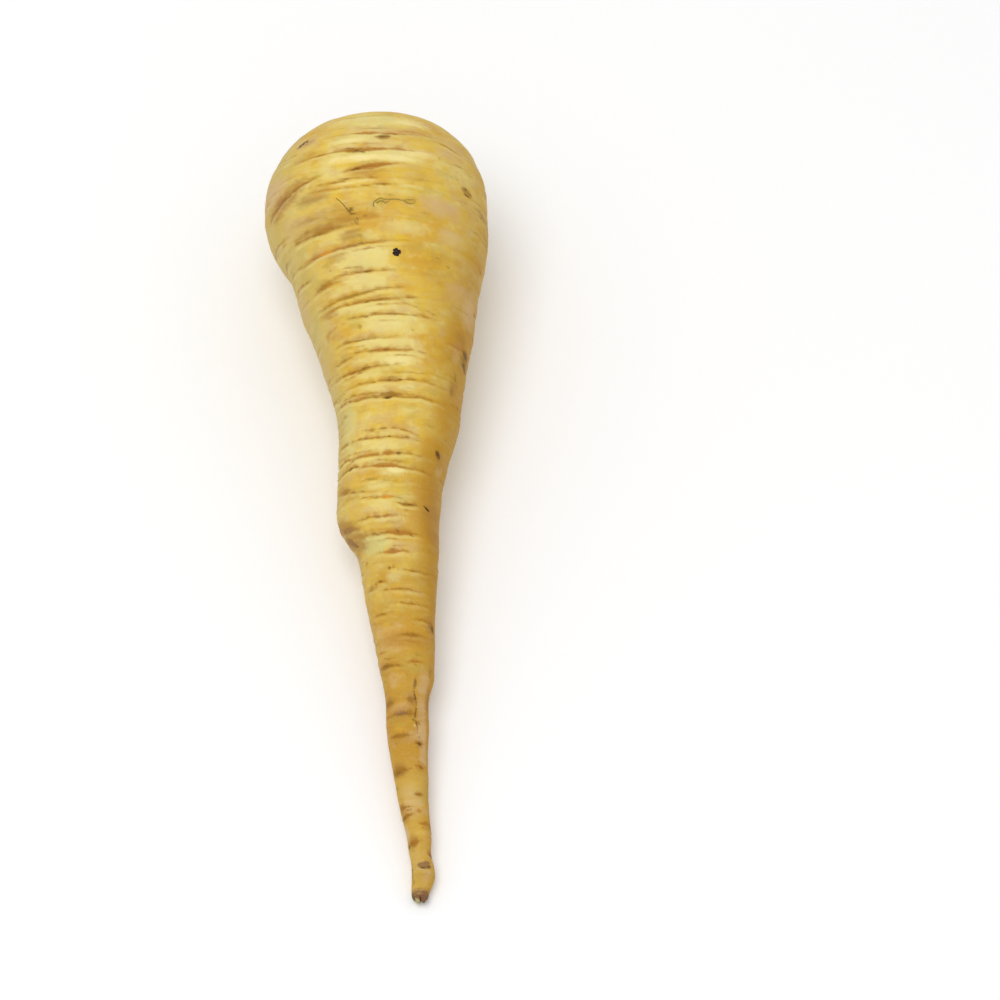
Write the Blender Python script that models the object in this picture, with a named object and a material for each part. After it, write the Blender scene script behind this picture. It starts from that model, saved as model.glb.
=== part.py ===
"""A whole parsnip, washed and topped, lying on its side as it rests on a table.

Run it with: blender --background --python part.py
Metres, +Z up. The crown faces +Y and the root tip points along -Y. The root rests on Z = 0,
and the origin is at the middle of its bounding box, on the table.

The root is one lofted skin. Its rings run from the middle of the hollow crown, over the rim and
the shoulder, and down the tapering body to the tip. Creases are pressed into it by a formula.
The cut leaf stalks in the hollow and the frayed fibres at the tip are grown into it.
"""

import math
import random

import bmesh
import bpy
from mathutils import Matrix, Vector, noise

MM = 0.001

# Driving dimensions, in millimetres.
SHOULDER_RADIUS = 33.0
DOME_HEIGHT = 32.2  # from the widest ring to where a full dome would close
DOME_FULLNESS = 2.46  # 2 is a true ellipse, and more is squarer at the shoulder
SHOULDER_LEAN = 1.6  # the crown sits this much to the right of the widest ring's middle
CROWN_RIM_RADIUS = 11.5
CROWN_HOLLOW_DEPTH = 6.5
RESTING_FLAT_SINK = 0.9  # how much of the round belly is worn flat where the root lies

# The outline seen from above: distance down the root from its widest ring, radius there, and
# how far the middle has wandered to the right.
OUTLINE = (
    (0.0, 33.0, 0.0),
    (5.0, 32.7, 0.6),
    (12.0, 30.9, 1.9),
    (16.6, 28.8, 3.1),
    (25.5, 26.7, 3.9),
    (39.0, 23.3, 5.7),
    (52.5, 19.9, 6.8),
    (65.5, 17.5, 7.4),
    (78.5, 15.8, 5.9),
    (87.5, 15.2, 5.1),
    (96.0, 14.8, 5.2),
    (100.5, 13.4, 6.5),
    (104.5, 11.9, 7.9),
    (109.0, 11.3, 8.1),
    (117.5, 10.2, 8.5),
    (130.0, 8.9, 9.8),
    (138.5, 8.0, 10.5),
    (142.5, 7.4, 10.9),
    (146.5, 6.3, 10.6),
    (157.0, 6.1, 11.0),
    (163.0, 5.4, 11.3),
    (171.5, 4.8, 12.2),
    (179.5, 4.1, 13.0),
    (187.5, 3.5, 14.4),
    (192.0, 3.1, 14.6),
    (196.0, 3.1, 15.5),
    (200.0, 3.3, 15.6),
    (203.0, 2.5, 14.9),
    (204.4, 2.2, 14.7),
)
TIP_DOWN = OUTLINE[-1][0]
TAIL_REST_DOWN = 198.0  # the tail touches the table about here

# Rings of the skin.
SIDES = 42
RING_STEP = 2.05
CROWN_RINGS = 8
DOME_RINGS = 22
LEAST_RING_GAP = 0.9

# The shallow lobes that keep a section from being a true circle.
LOBE_SHARE = 0.022
LOBE_LENGTH = 40.0

# Creases on the side that faces up: distance down, angle from straight up (right is positive),
# half of the span in degrees, and depth.
CREASES = (
    (-23.8, -14, 20, 0.5),
    (-16.3, 3, 30, 0.8),
    (-9.8, -4, 34, 0.9),
    (-4.4, 0, 32, 0.6),
    (-0.6, -52, 30, 1.0),
    (0.9, -8, 26, 0.6),
    (6.2, 10, 14, 0.4),
    (11.2, -8, 18, 0.6),
    (13.4, -38, 28, 1.0),
    (18.4, -24, 32, 0.8),
    (26.2, -16, 20, 0.7),
    (28.4, -46, 18, 0.5),
    (31.2, -20, 22, 0.6),
    (33.9, -18, 36, 0.8),
    (38.5, -6, 48, 0.6),
    (44.8, -20, 28, 0.6),
    (48.5, -3, 26, 0.7),
    (53.3, -34, 22, 0.7),
    (56.3, -8, 30, 0.6),
    (61.3, -6, 44, 0.9),
    (70.8, -2, 26, 0.5),
    (73.1, -10, 40, 0.6),
    (77.9, -10, 26, 0.6),
    (81.2, -4, 50, 0.7),
    (87.2, -50, 22, 0.5),
    (91.4, -8, 20, 0.4),
    (93.1, 22, 16, 0.4),
    (97.0, -22, 46, 0.6),
    (101.1, 0, 28, 0.8),
    (106.3, -6, 20, 0.6),
    (111.5, 12, 40, 0.6),
    (116.5, -18, 44, 0.6),
    (121.5, 24, 40, 0.5),
    (126.0, 38, 26, 0.5),
    (131.2, 14, 26, 0.5),
    (136.0, -38, 28, 0.5),
    (138.6, -20, 50, 0.6),
    (149.0, -14, 56, 0.5),
    (153.6, -22, 36, 0.5),
    (159.2, -18, 34, 0.5),
    (161.3, 30, 18, 0.4),
    (168.4, -24, 50, 0.6),
    (175.9, 14, 20, 0.4),
    (178.0, -54, 24, 0.5),
    (181.0, -30, 56, 0.5),
    (183.7, 26, 30, 0.4),
    (189.8, -34, 44, 0.6),
    (195.8, 6, 52, 0.8),
    (198.3, 6, 26, 0.3),
)
CREASE_WIDTH = 1.15
CREASE_LIP = 0.35  # the swelling beside a crease, as a share of its depth

# Creases on the sides and the underside follow the same habit, drawn at random.
UNSEEN_STEP = 6.5
UNSEEN_ANGLES = (128, 180, 232)
UNSEEN_SPAN = (24, 46)
UNSEEN_DEPTH = (0.35, 0.8)
UNSEEN_SEED = 31

# Leaf stalks cut off short in the hollow of the crown, each the crescent of a sheath.
STALK_COUNT = 8
STALK_TURN = 137.5
STALK_OUTER = 7.6
STALK_INWARD = 0.85  # each stalk stands this much nearer to the middle than the last
STALK_THICKNESS = 1.7
STALK_HALF_SPAN = 46
STALK_STEPS = 6
STALK_SINK = 2.5
STALK_BELOW_RIM = (0.6, 2.6)

# Fibres left where the thin end of the root broke off: sideways, height, radius, length.
TIP_FIBRES = (
    (-1.0, -0.1, 1.15, 2.6),
    (1.3, 0.2, 0.8, 2.3),
    (0.2, 0.7, 0.7, 1.5),
)
FIBRE_SIDES = 6
FIBRE_SINK = 2.4


def clear_scene():
    for thing in list(bpy.data.objects):
        bpy.data.objects.remove(thing)


def eased(rows, at, column):
    """A smooth curve through one column of a table whose first column rises."""
    last = len(rows) - 1
    at = min(max(at, rows[0][0]), rows[last][0])
    index = max(i for i in range(last) if rows[i][0] <= at)

    def slope(i):
        low, high = max(i - 1, 0), min(i + 1, last)
        return (rows[high][column] - rows[low][column]) / (rows[high][0] - rows[low][0])

    width = rows[index + 1][0] - rows[index][0]
    t = (at - rows[index][0]) / width
    here, there = rows[index][column], rows[index + 1][column]
    return (
        here * (1 + 2 * t) * (1 - t) ** 2
        + there * t * t * (3 - 2 * t)
        + width * (slope(index) * t * (1 - t) ** 2 - slope(index + 1) * t * t * (1 - t))
    )


def dome_point(turn):
    """(down, radius) on the shoulder above the widest ring, where turn is 0."""
    power = 2 / DOME_FULLNESS
    down = -DOME_HEIGHT * math.sin(turn) ** power
    return down, SHOULDER_RADIUS * math.cos(turn) ** power


def rim_turn():
    """The turn at which the shoulder has come in to the crown's rim."""
    return math.acos((CROWN_RIM_RADIUS / SHOULDER_RADIUS) ** (DOME_FULLNESS / 2))


def rim_down():
    return dome_point(rim_turn())[0]


def hollow_down(radius):
    """The floor of the crown's hollow, deepest in the middle and level at the rim."""
    share = min(radius / CROWN_RIM_RADIUS, 1.0)
    return rim_down() + CROWN_HOLLOW_DEPTH * (1 - share * share) ** 2


def all_creases():
    """The creases that show from above, and random ones of the same kind elsewhere."""
    chance = random.Random(UNSEEN_SEED)
    found = list(CREASES)
    down = rim_down() * 0.7
    while down < TAIL_REST_DOWN:
        for angle in UNSEEN_ANGLES:
            found.append(
                (
                    down + chance.uniform(-2.4, 2.4),
                    angle + chance.uniform(-16, 16),
                    chance.uniform(*UNSEEN_SPAN),
                    chance.uniform(*UNSEEN_DEPTH),
                )
            )
        down += UNSEEN_STEP
    return found


def crease_push(creases, down, radius, angle):
    """How far the creases push the skin out of its smooth form at one place."""
    thin = min(1.0, radius / 12.0)
    push = 0.0
    for at, middle, half_span, depth in creases:
        across = (down - at) / CREASE_WIDTH
        if abs(across) > 4:
            continue
        around = ((angle - middle + 180) % 360 - 180) / half_span
        if abs(around) >= 1:
            continue
        fade = (1 - around * around) ** 1.5
        groove = math.exp(-across * across)
        lips = math.exp(-((abs(across) - 2.0) ** 2))
        push += depth * thin * fade * (CREASE_LIP * lips - groove)
    return push


def lobe_share(down, angle):
    """Slow swellings along and round the root."""
    turn = math.radians(angle)
    place = Vector((math.cos(turn), math.sin(turn), down / LOBE_LENGTH))
    return 1 + LOBE_SHARE * noise.noise(place * 1.3)


def drift_at(down):
    """How far the middle of the section at this distance down lies to the right."""
    if down < 0:
        return SHOULDER_LEAN * (down / DOME_HEIGHT) ** 2
    return eased(OUTLINE, down, 2)


def ring_profile():
    """(down, radius) of each ring, from the crown's middle to the tip."""
    rings = []
    for i in range(1, CROWN_RINGS):
        radius = CROWN_RIM_RADIUS * i / CROWN_RINGS
        rings.append((hollow_down(radius), radius))
    for i in range(DOME_RINGS):
        rings.append(dome_point(rim_turn() * (1 - i / DOME_RINGS)))
    for down in body_stations():
        rings.append((down, eased(OUTLINE, down, 1)))
    return rings


def body_stations():
    """Even stations down the body, each moved onto the crease next to it if there is one."""
    count = round(TIP_DOWN / RING_STEP)
    stations = [TIP_DOWN * i / count for i in range(count + 1)]
    for at, _, _, _ in CREASES:
        nearest = min(range(1, count), key=lambda i: abs(stations[i] - at))
        low = stations[nearest - 1] + LEAST_RING_GAP
        high = stations[nearest + 1] - LEAST_RING_GAP
        if low <= at <= high:
            stations[nearest] = at
    return stations


def loft(creases):
    """The skin as a closed mesh in its own upright frame: down along -Z, up-side along -Y."""
    mesh = bmesh.new()
    profile = ring_profile()
    loops = []
    for i, (down, radius) in enumerate(profile):
        before, after = profile[max(i - 1, 0)], profile[min(i + 1, len(profile) - 1)]
        run = Vector((after[1] - before[1], -(after[0] - before[0])))
        out_radial, out_axial = -run.y, run.x
        length = math.hypot(out_radial, out_axial)
        in_hollow = i < CROWN_RINGS
        drift = drift_at(rim_down() if in_hollow else down)
        loop = []
        for side in range(SIDES):
            angle = 360 * side / SIDES
            push = 0.0 if in_hollow else crease_push(creases, down, radius, angle)
            reach = radius * lobe_share(down, angle) + push * out_radial / length
            turn = math.radians(angle)
            place = (
                drift + reach * math.sin(turn),
                -reach * math.cos(turn),
                -down + push * out_axial / length,
            )
            loop.append(mesh.verts.new(Vector(place) * MM))
        loops.append(loop)
    for upper, lower in zip(loops, loops[1:]):
        for side in range(SIDES):
            after = (side + 1) % SIDES
            mesh.faces.new((upper[side], upper[after], lower[after], lower[side]))
    crown_middle = mesh.verts.new(Vector((drift_at(rim_down()), 0, -hollow_down(0))) * MM)
    tip_middle = mesh.verts.new(Vector((OUTLINE[-1][2], 0, -TIP_DOWN - 0.8)) * MM)
    for side in range(SIDES):
        after = (side + 1) % SIDES
        mesh.faces.new((crown_middle, loops[0][after], loops[0][side]))
        mesh.faces.new((tip_middle, loops[-1][side], loops[-1][after]))
    bmesh.ops.recalc_face_normals(mesh, faces=mesh.faces)
    return mesh


def object_of(mesh, name, collection):
    data = bpy.data.meshes.new(name)
    mesh.to_mesh(data)
    mesh.free()
    made = bpy.data.objects.new(name, data)
    collection.objects.link(made)
    return made


def stalk_stub(index, chance):
    """One cut leaf stalk: a crescent, thick in the middle and thin at its ends."""
    mesh = bmesh.new()
    distance = STALK_OUTER - STALK_INWARD * index
    heading = STALK_TURN * index
    top = -rim_down() - chance.uniform(*STALK_BELOW_RIM)
    slant = chance.uniform(-0.12, 0.12)
    foot = -hollow_down(distance) - STALK_SINK
    middle = drift_at(rim_down())
    outline = []
    for side, steps in ((1, range(STALK_STEPS + 1)), (-1, range(STALK_STEPS, -1, -1))):
        for i in steps:
            share = 2 * i / STALK_STEPS - 1
            half = STALK_THICKNESS / 2 * (1 - 0.7 * share * share)
            turn = math.radians(heading + STALK_HALF_SPAN * share)
            reach = max(distance, 2.2) + side * half
            outline.append((middle + reach * math.sin(turn), -reach * math.cos(turn)))
    low = [mesh.verts.new(Vector((x, y, foot)) * MM) for x, y in outline]
    high = [mesh.verts.new(Vector((x, y, top + slant * (x + y))) * MM) for x, y in outline]
    mesh.faces.new(low)
    mesh.faces.new(high)
    count = len(outline)
    for i in range(count):
        after = (i + 1) % count
        mesh.faces.new((low[i], low[after], high[after], high[i]))
    bmesh.ops.recalc_face_normals(mesh, faces=mesh.faces)
    return mesh


def tip_fibre(sideways, height, radius, length):
    """One torn fibre bundle: a blunt cone that leaves the broken end of the root."""
    mesh = bmesh.new()
    bmesh.ops.create_cone(
        mesh,
        cap_ends=True,
        segments=FIBRE_SIDES,
        radius1=radius * 0.45 * MM,
        radius2=radius * MM,
        depth=(length + FIBRE_SINK) * MM,
    )
    middle = (FIBRE_SINK - length) / 2 - TIP_DOWN
    place = Vector((OUTLINE[-1][2] + sideways, -height, middle)) * MM
    bmesh.ops.translate(mesh, verts=mesh.verts, vec=place)
    return mesh


def lay_down(root):
    """Turns the root from upright to lying, lets its belly and tail rest, and sets the origin."""
    belly = SHOULDER_RADIUS - RESTING_FLAT_SINK
    tail = eased(OUTLINE, TAIL_REST_DOWN, 1) - RESTING_FLAT_SINK / 2
    tilt = math.asin((belly - tail) / TAIL_REST_DOWN)
    turn = Matrix.Rotation(tilt - math.pi / 2, 4, "X")
    root.data.transform(turn)
    lowest = min(vertex.co.z for vertex in root.data.vertices)
    raise_by = -lowest - RESTING_FLAT_SINK * MM
    for vertex in root.data.vertices:
        vertex.co.z = max(0.0, vertex.co.z + raise_by)
    across = [vertex.co.x for vertex in root.data.vertices]
    along = [vertex.co.y for vertex in root.data.vertices]
    middle = Vector(((min(across) + max(across)) / 2, (min(along) + max(along)) / 2, 0))
    root.data.transform(Matrix.Translation(-middle))


def grow_together(root, parts):
    """One union of the skin with the stalk stubs and the torn fibres."""
    union = root.modifiers.new("grown_together", "BOOLEAN")
    union.operation = "UNION"
    union.operand_type = "COLLECTION"
    union.collection = parts
    union.solver = "EXACT"
    bpy.context.view_layer.objects.active = root
    bpy.ops.object.modifier_apply(modifier=union.name)
    for thing in list(parts.objects):
        bpy.data.objects.remove(thing)
    bpy.data.collections.remove(parts)


def skin_material():
    """Washed parsnip skin: straw to ochre, with the soft gloss of damp peel."""
    material = bpy.data.materials.new("parsnip_skin")
    material.use_nodes = True
    shader = material.node_tree.nodes["Principled BSDF"]
    shader.inputs["Base Color"].default_value = (0.70, 0.51, 0.20, 1)
    shader.inputs["Roughness"].default_value = 0.52
    shader.inputs["Metallic"].default_value = 0.0
    return material


def build():
    clear_scene()
    scene_collection = bpy.context.scene.collection
    root = object_of(loft(all_creases()), "parsnip_root", scene_collection)
    parts = bpy.data.collections.new("grown_parts")
    scene_collection.children.link(parts)
    chance = random.Random(UNSEEN_SEED)
    for index in range(STALK_COUNT):
        object_of(stalk_stub(index, chance), f"stalk_{index}", parts)
    for index, fibre in enumerate(TIP_FIBRES):
        object_of(tip_fibre(*fibre), f"fibre_{index}", parts)
    grow_together(root, parts)
    lay_down(root)
    root.data.materials.clear()
    root.data.materials.append(skin_material())
    root.data.shade_smooth()
    root.data.set_sharp_from_angle(angle=math.radians(50))


build()
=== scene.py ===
# The look of a washed parsnip, lying on its side on a pale table.
# Metres, +Z up, crown towards +Y, tip towards -Y. The dictionaries hold millimetres and
# degrees, and only the studio's is in metres.
import math
import random

import bpy
import numpy as np
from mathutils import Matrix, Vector, noise
from mathutils.bvhtree import BVHTree


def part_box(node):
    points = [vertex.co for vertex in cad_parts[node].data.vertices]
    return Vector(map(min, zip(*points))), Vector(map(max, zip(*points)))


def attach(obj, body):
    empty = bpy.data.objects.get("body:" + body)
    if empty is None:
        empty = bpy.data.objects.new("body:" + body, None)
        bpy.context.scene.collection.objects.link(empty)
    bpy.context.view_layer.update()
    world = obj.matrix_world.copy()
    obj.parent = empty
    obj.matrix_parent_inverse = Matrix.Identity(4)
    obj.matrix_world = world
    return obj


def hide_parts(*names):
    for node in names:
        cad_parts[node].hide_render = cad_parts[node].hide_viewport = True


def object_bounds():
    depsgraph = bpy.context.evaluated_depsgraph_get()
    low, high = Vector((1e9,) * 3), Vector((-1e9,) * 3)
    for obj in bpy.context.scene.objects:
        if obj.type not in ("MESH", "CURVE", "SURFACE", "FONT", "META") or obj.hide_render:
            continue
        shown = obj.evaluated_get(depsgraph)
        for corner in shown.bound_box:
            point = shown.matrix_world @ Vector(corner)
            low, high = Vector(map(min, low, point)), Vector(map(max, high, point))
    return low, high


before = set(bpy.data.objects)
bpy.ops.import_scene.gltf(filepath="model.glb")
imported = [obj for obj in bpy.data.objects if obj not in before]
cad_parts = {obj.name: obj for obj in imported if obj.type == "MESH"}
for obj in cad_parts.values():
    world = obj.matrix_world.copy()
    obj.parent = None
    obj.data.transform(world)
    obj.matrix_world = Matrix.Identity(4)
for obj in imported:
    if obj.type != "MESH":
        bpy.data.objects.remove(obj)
cadBox = [list(corner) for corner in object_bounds()]
mm = 0.001


def linear(hexColour):  # sRGB hex to the linear colour that a shader takes
    parts = [int(hexColour[i : i + 2], 16) / 255 for i in (1, 3, 5)]
    return [p / 12.92 if p <= 0.04045 else ((p + 0.055) / 1.055) ** 2.4 for p in parts] + [1.0]


def addNode(tree, kind, settings, inputs):  # an input that is given a socket is linked to it
    made = tree.nodes.new("ShaderNode" + kind)
    for name, value in settings.items():
        setattr(made, name, value)
    for name, value in inputs.items():
        if isinstance(value, bpy.types.NodeSocket):
            tree.links.new(value, made.inputs[name])
        else:
            made.inputs[name].default_value = value
    return made


def wave(x, y, z):  # smooth noise at a point, from -1 to 1
    return noise.noise(Vector((x, y, z)))


def newMaterial(name):  # an empty node tree with its shader and output joined
    material = bpy.data.materials.new(name)
    material.use_nodes = True
    tree = material.node_tree
    return material, tree, tree.nodes["Principled BSDF"]


def noiseNode(tree, place, scale, detail):  # the scale is for each of the three directions
    scaled = addNode(tree, "VectorMath", {"operation": "MULTIPLY"}, {0: place, 1: scale}).outputs[0]
    return addNode(tree, "TexNoise", {}, {"Vector": scaled, "Scale": 1.0, "Detail": detail}).outputs["Fac"]


def blend(tree, amount, first, second):
    return addNode(tree, "Mix", {"data_type": "RGBA"}, {0: amount, 6: first, 7: second}).outputs[2]


def coat(tree, shader, colour, roughness, height, bump):  # bump is its strength and its height in mm
    tree.links.new(colour, shader.inputs["Base Color"])
    shader.inputs["Roughness"].default_value = roughness
    if bump:
        raised = addNode(tree, "Bump", {}, {"Height": height, "Strength": bump[0], "Distance": bump[1] * mm})
        tree.links.new(raised.outputs[0], shader.inputs["Normal"])


def mottledMaterial(name, first, second, look):  # grains of the second colour in the first
    material, tree, shader = newMaterial(name)
    place = addNode(tree, "TexCoord", {}, {}).outputs["Object"]
    scale = [share / (look["grain"] * mm) for share in look.get("stretch", (1, 1, 1))]
    grains = noiseNode(tree, place, scale, look["detail"])
    low, high = look.get("edges", (0, 1))
    amount = addNode(tree, "MapRange", {}, {"Value": grains, "From Min": low, "From Max": high}).outputs[0]
    colour = blend(tree, amount, first, second)
    coat(tree, shader, colour, look["roughness"], grains, look.get("bump"))
    return material


def ringFaces(rings, size):  # quads between rings of points, each of the same size
    return [
        (i * size + k, (i + 1) * size + k, (i + 1) * size + (k + 1) % size, i * size + (k + 1) % size)
        for i in range(rings - 1)
        for k in range(size)
    ]


def linked(name, data):
    made = bpy.data.objects.new(name, data)
    bpy.context.scene.collection.objects.link(made)
    return made


def makeMesh(name, points, faces, material):
    mesh = bpy.data.meshes.new(name)
    mesh.from_pydata([tuple(p) for p in points], [], faces)
    mesh.materials.append(material)
    return mesh


def makePiece(name, points, faces, material):
    mesh = makeMesh(name, points, faces, material)
    mesh.shade_smooth()
    piece = linked(name, mesh)
    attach(piece, "root")
    return piece


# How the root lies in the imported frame. The shoulder is its widest ring. Every place on the
# skin is given as a distance down from there, negative towards the crown, and a turn in
# degrees from straight up, positive to the right.
lie = {
    "tilt": 8.5,  # degrees that the tail drops below level
    "tipToShoulder": 207.0,  # along the root
    "shoulderUnderTop": 33.86,  # from the solid's highest point to the root's middle line
    "crownRim": 11.5,  # radius of the hollow's rim
    "rimAboveShoulder": 31.2,
    "crownDepth": 6.5,
    "crownLean": 1.5,  # how far the rim's middle lies to the right
    "skinEnds": 204.2,
    "castFrom": 80.0,  # clear of the solid on either side
    "fullRadius": 12.0,  # relief grows shallower where the root is thinner than this
}

lowCorner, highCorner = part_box("parsnip_root")
tilt = math.radians(lie["tilt"])
rightward = np.array([1.0, 0.0, 0.0])
tailward = np.array([0.0, -math.cos(tilt), -math.sin(tilt)])
upward = np.array([0.0, -math.sin(tilt), math.cos(tilt)])
shoulder = np.array(
    [
        (lowCorner.x + highCorner.x) / 2,
        lowCorner.y + lie["tipToShoulder"] * math.cos(tilt) * mm,
        highCorner.z - lie["shoulderUnderTop"] * mm,
    ]
)

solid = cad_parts["parsnip_root"].data
solidTree = BVHTree.FromPolygons(
    [v.co.copy() for v in solid.vertices], [tuple(p.vertices) for p in solid.polygons]
)


def hitSolid(start, direction):
    place, _, _, _ = solidTree.ray_cast(Vector(start), Vector(direction))
    return None if place is None else np.array(place)


# The grid that the fine skin is made on.
grid = {
    "columns": 150,
    "crowding": 0.45,  # how much closer the columns stand on top than underneath
    "hollowRows": 18,
    "hollowFrom": 0.06,  # share of the rim's radius
    "domeRows": 106,
    "bodyStep": 0.41,
    "endRows": 14,
    "endGap": 0.6,  # row steps from the last ring to the middle of the end
    "facetBlurDown": 3.4,  # rows
    "facetBlurRound": 1.7,  # columns
}

even = np.linspace(-math.pi, math.pi, grid["columns"], endpoint=False)
radians = even - grid["crowding"] * np.sin(even)
turns = np.degrees(radians)
spokes = np.outer(np.cos(radians), upward) + np.outer(np.sin(radians), rightward)


def middleAt(down):  # the middle of a section, found from its two sides
    onAxis = shoulder + tailward * down * mm
    reach = rightward * lie["castFrom"] * mm
    right = hitSolid(onAxis + reach, -rightward)
    left = hitSolid(onAxis - reach, rightward)
    return onAxis if right is None or left is None else (left + right) / 2


def blurred(field, rows, columns):  # bell-shaped, with the ends held and the seam closed
    for axis, width in ((0, rows), (1, columns)):
        half = int(width * 3) + 1
        weights = np.exp(-0.5 * (np.arange(-half, half + 1) / width) ** 2)
        weights /= weights.sum()
        pads = [(0, 0)] * field.ndim
        pads[axis] = (half, half)
        padded = np.pad(field, pads, mode="wrap" if axis else "edge")
        length = field.shape[axis]
        parts = [w * np.take(padded, np.arange(k, k + length), axis) for k, w in enumerate(weights)]
        field = np.sum(parts, axis=0)
    return field


def sampleSolid():
    # Rows fan out from the shoulder's middle over the dome, then step down the body.
    rimSlope = math.atan2(lie["crownRim"], lie["rimAboveShoulder"])
    origins, headings = [], []
    for slope in np.linspace(rimSlope, math.pi / 2, grid["domeRows"], endpoint=False):
        lean = lie["crownLean"] * math.cos(slope) ** 2
        origins.append(shoulder + rightward * lean * mm)
        headings.append(spokes * math.sin(slope) - tailward * math.cos(slope))
    steps = round(lie["skinEnds"] / grid["bodyStep"])
    middles = np.array([middleAt(down) for down in np.linspace(0, lie["skinEnds"], steps)])
    middles = blurred(middles, grid["facetBlurDown"], 0.01)
    origins.extend(middles)
    headings.extend([spokes] * steps)
    reach = np.empty((len(origins), grid["columns"]))
    for i, (origin, heading) in enumerate(zip(origins, headings)):
        for j in range(grid["columns"]):
            place = hitSolid(origin, heading[j])
            reach[i, j] = reach[i - 1, j] if place is None else np.linalg.norm(place - origin)
    reach = blurred(reach, grid["facetBlurDown"], grid["facetBlurRound"])
    return np.array(origins)[:, None, :] + np.array(headings) * reach[:, :, None]


# The torn end of the tail: brown peel to the right, a pale core and a dark slit to the left.
knob = {
    "length": 2.5,
    "blunt": 2.6,  # 2 makes it round, more makes it blunter
    "lumps": 0.9,
    "lumpScale": 0.9,  # lumps to the millimetre
    "slitDepth": 1.0,
    "slitRim": 4,  # the more, the nearer the slit comes to the rim
    "slitAt": 0.25,  # mm to the right of the middle
    "slitLean": -0.14,
    "slitWidth": 0.22,
    "coreFrom": -1.55,
    "coreTop": 1.6,
    "coreSoft": 0.5,  # mm over which an edge of the colours fades
    "slitSoft": 0.3,
    "greenIn": 0.2,
    "greenSoft": 0.4,
}


def slitNear(side, up):  # 1 in the slit, 0 away from it
    return np.exp(-(((side - knob["slitAt"] - knob["slitLean"] * up) / knob["slitWidth"]) ** 2))


def crownRows(rim):  # the hollow inside the rim, deepest in the middle
    middle = rim.mean(axis=0)
    rows = []
    for share in np.linspace(grid["hollowFrom"], 1, grid["hollowRows"], endpoint=False):
        depth = lie["crownDepth"] * (1 - share * share) ** 2 * mm
        rows.append(middle + (rim - middle) * share + tailward * depth)
    return np.array(rows)


def endRows(last):  # the torn end closes over in a blunt knob, split by a slit
    middle = last.mean(axis=0)
    rows = []
    for k in range(1, grid["endRows"] + 1):
        share = 1 - k / (grid["endRows"] + grid["endGap"])
        ring = middle + (last - middle) * share
        side, up = (ring - middle) @ rightward / mm, (ring - middle) @ upward / mm
        lump = np.array([wave(s, u, 4.0) for s, u in zip(side * knob["lumpScale"], up * knob["lumpScale"])])
        bulge = knob["length"] * (1 - share ** knob["blunt"]) ** 0.5 + knob["lumps"] * lump * (1 - share)
        bulge -= knob["slitDepth"] * slitNear(side, up) * (1 - share ** knob["slitRim"])
        rows.append(ring + tailward * bulge[:, None] * mm)
    return np.array(rows)


body = sampleSolid()
skin = np.concatenate([crownRows(body[0]), body, endRows(body[-1])])
firstBody = grid["hollowRows"]
lastBody = firstBody + len(body) - 1
print("skin sampled from the frame:", skin.shape)


def downAndRadius():
    fromShoulder = skin - shoulder
    down = fromShoulder @ tailward / mm
    middles = skin.mean(axis=1, keepdims=True)
    radius = np.linalg.norm(skin - middles, axis=2) / mm
    return down, radius


def outwardNormals():
    along = np.gradient(skin, axis=0)
    around = np.roll(skin, -1, axis=1) - np.roll(skin, 1, axis=1)
    normals = np.cross(along, around)
    return normals / np.maximum(np.linalg.norm(normals, axis=2, keepdims=True), 1e-12)


down, radius = downAndRadius()
thin = np.minimum(1.0, radius / lie["fullRadius"])
onSide = np.zeros(skin.shape[:2])  # 1 on the outside, fading to 0 in the crown's hollow
onSide[firstBody:] = 1.0
onSide = blurred(onSide, 3.0, 0.5)

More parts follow.
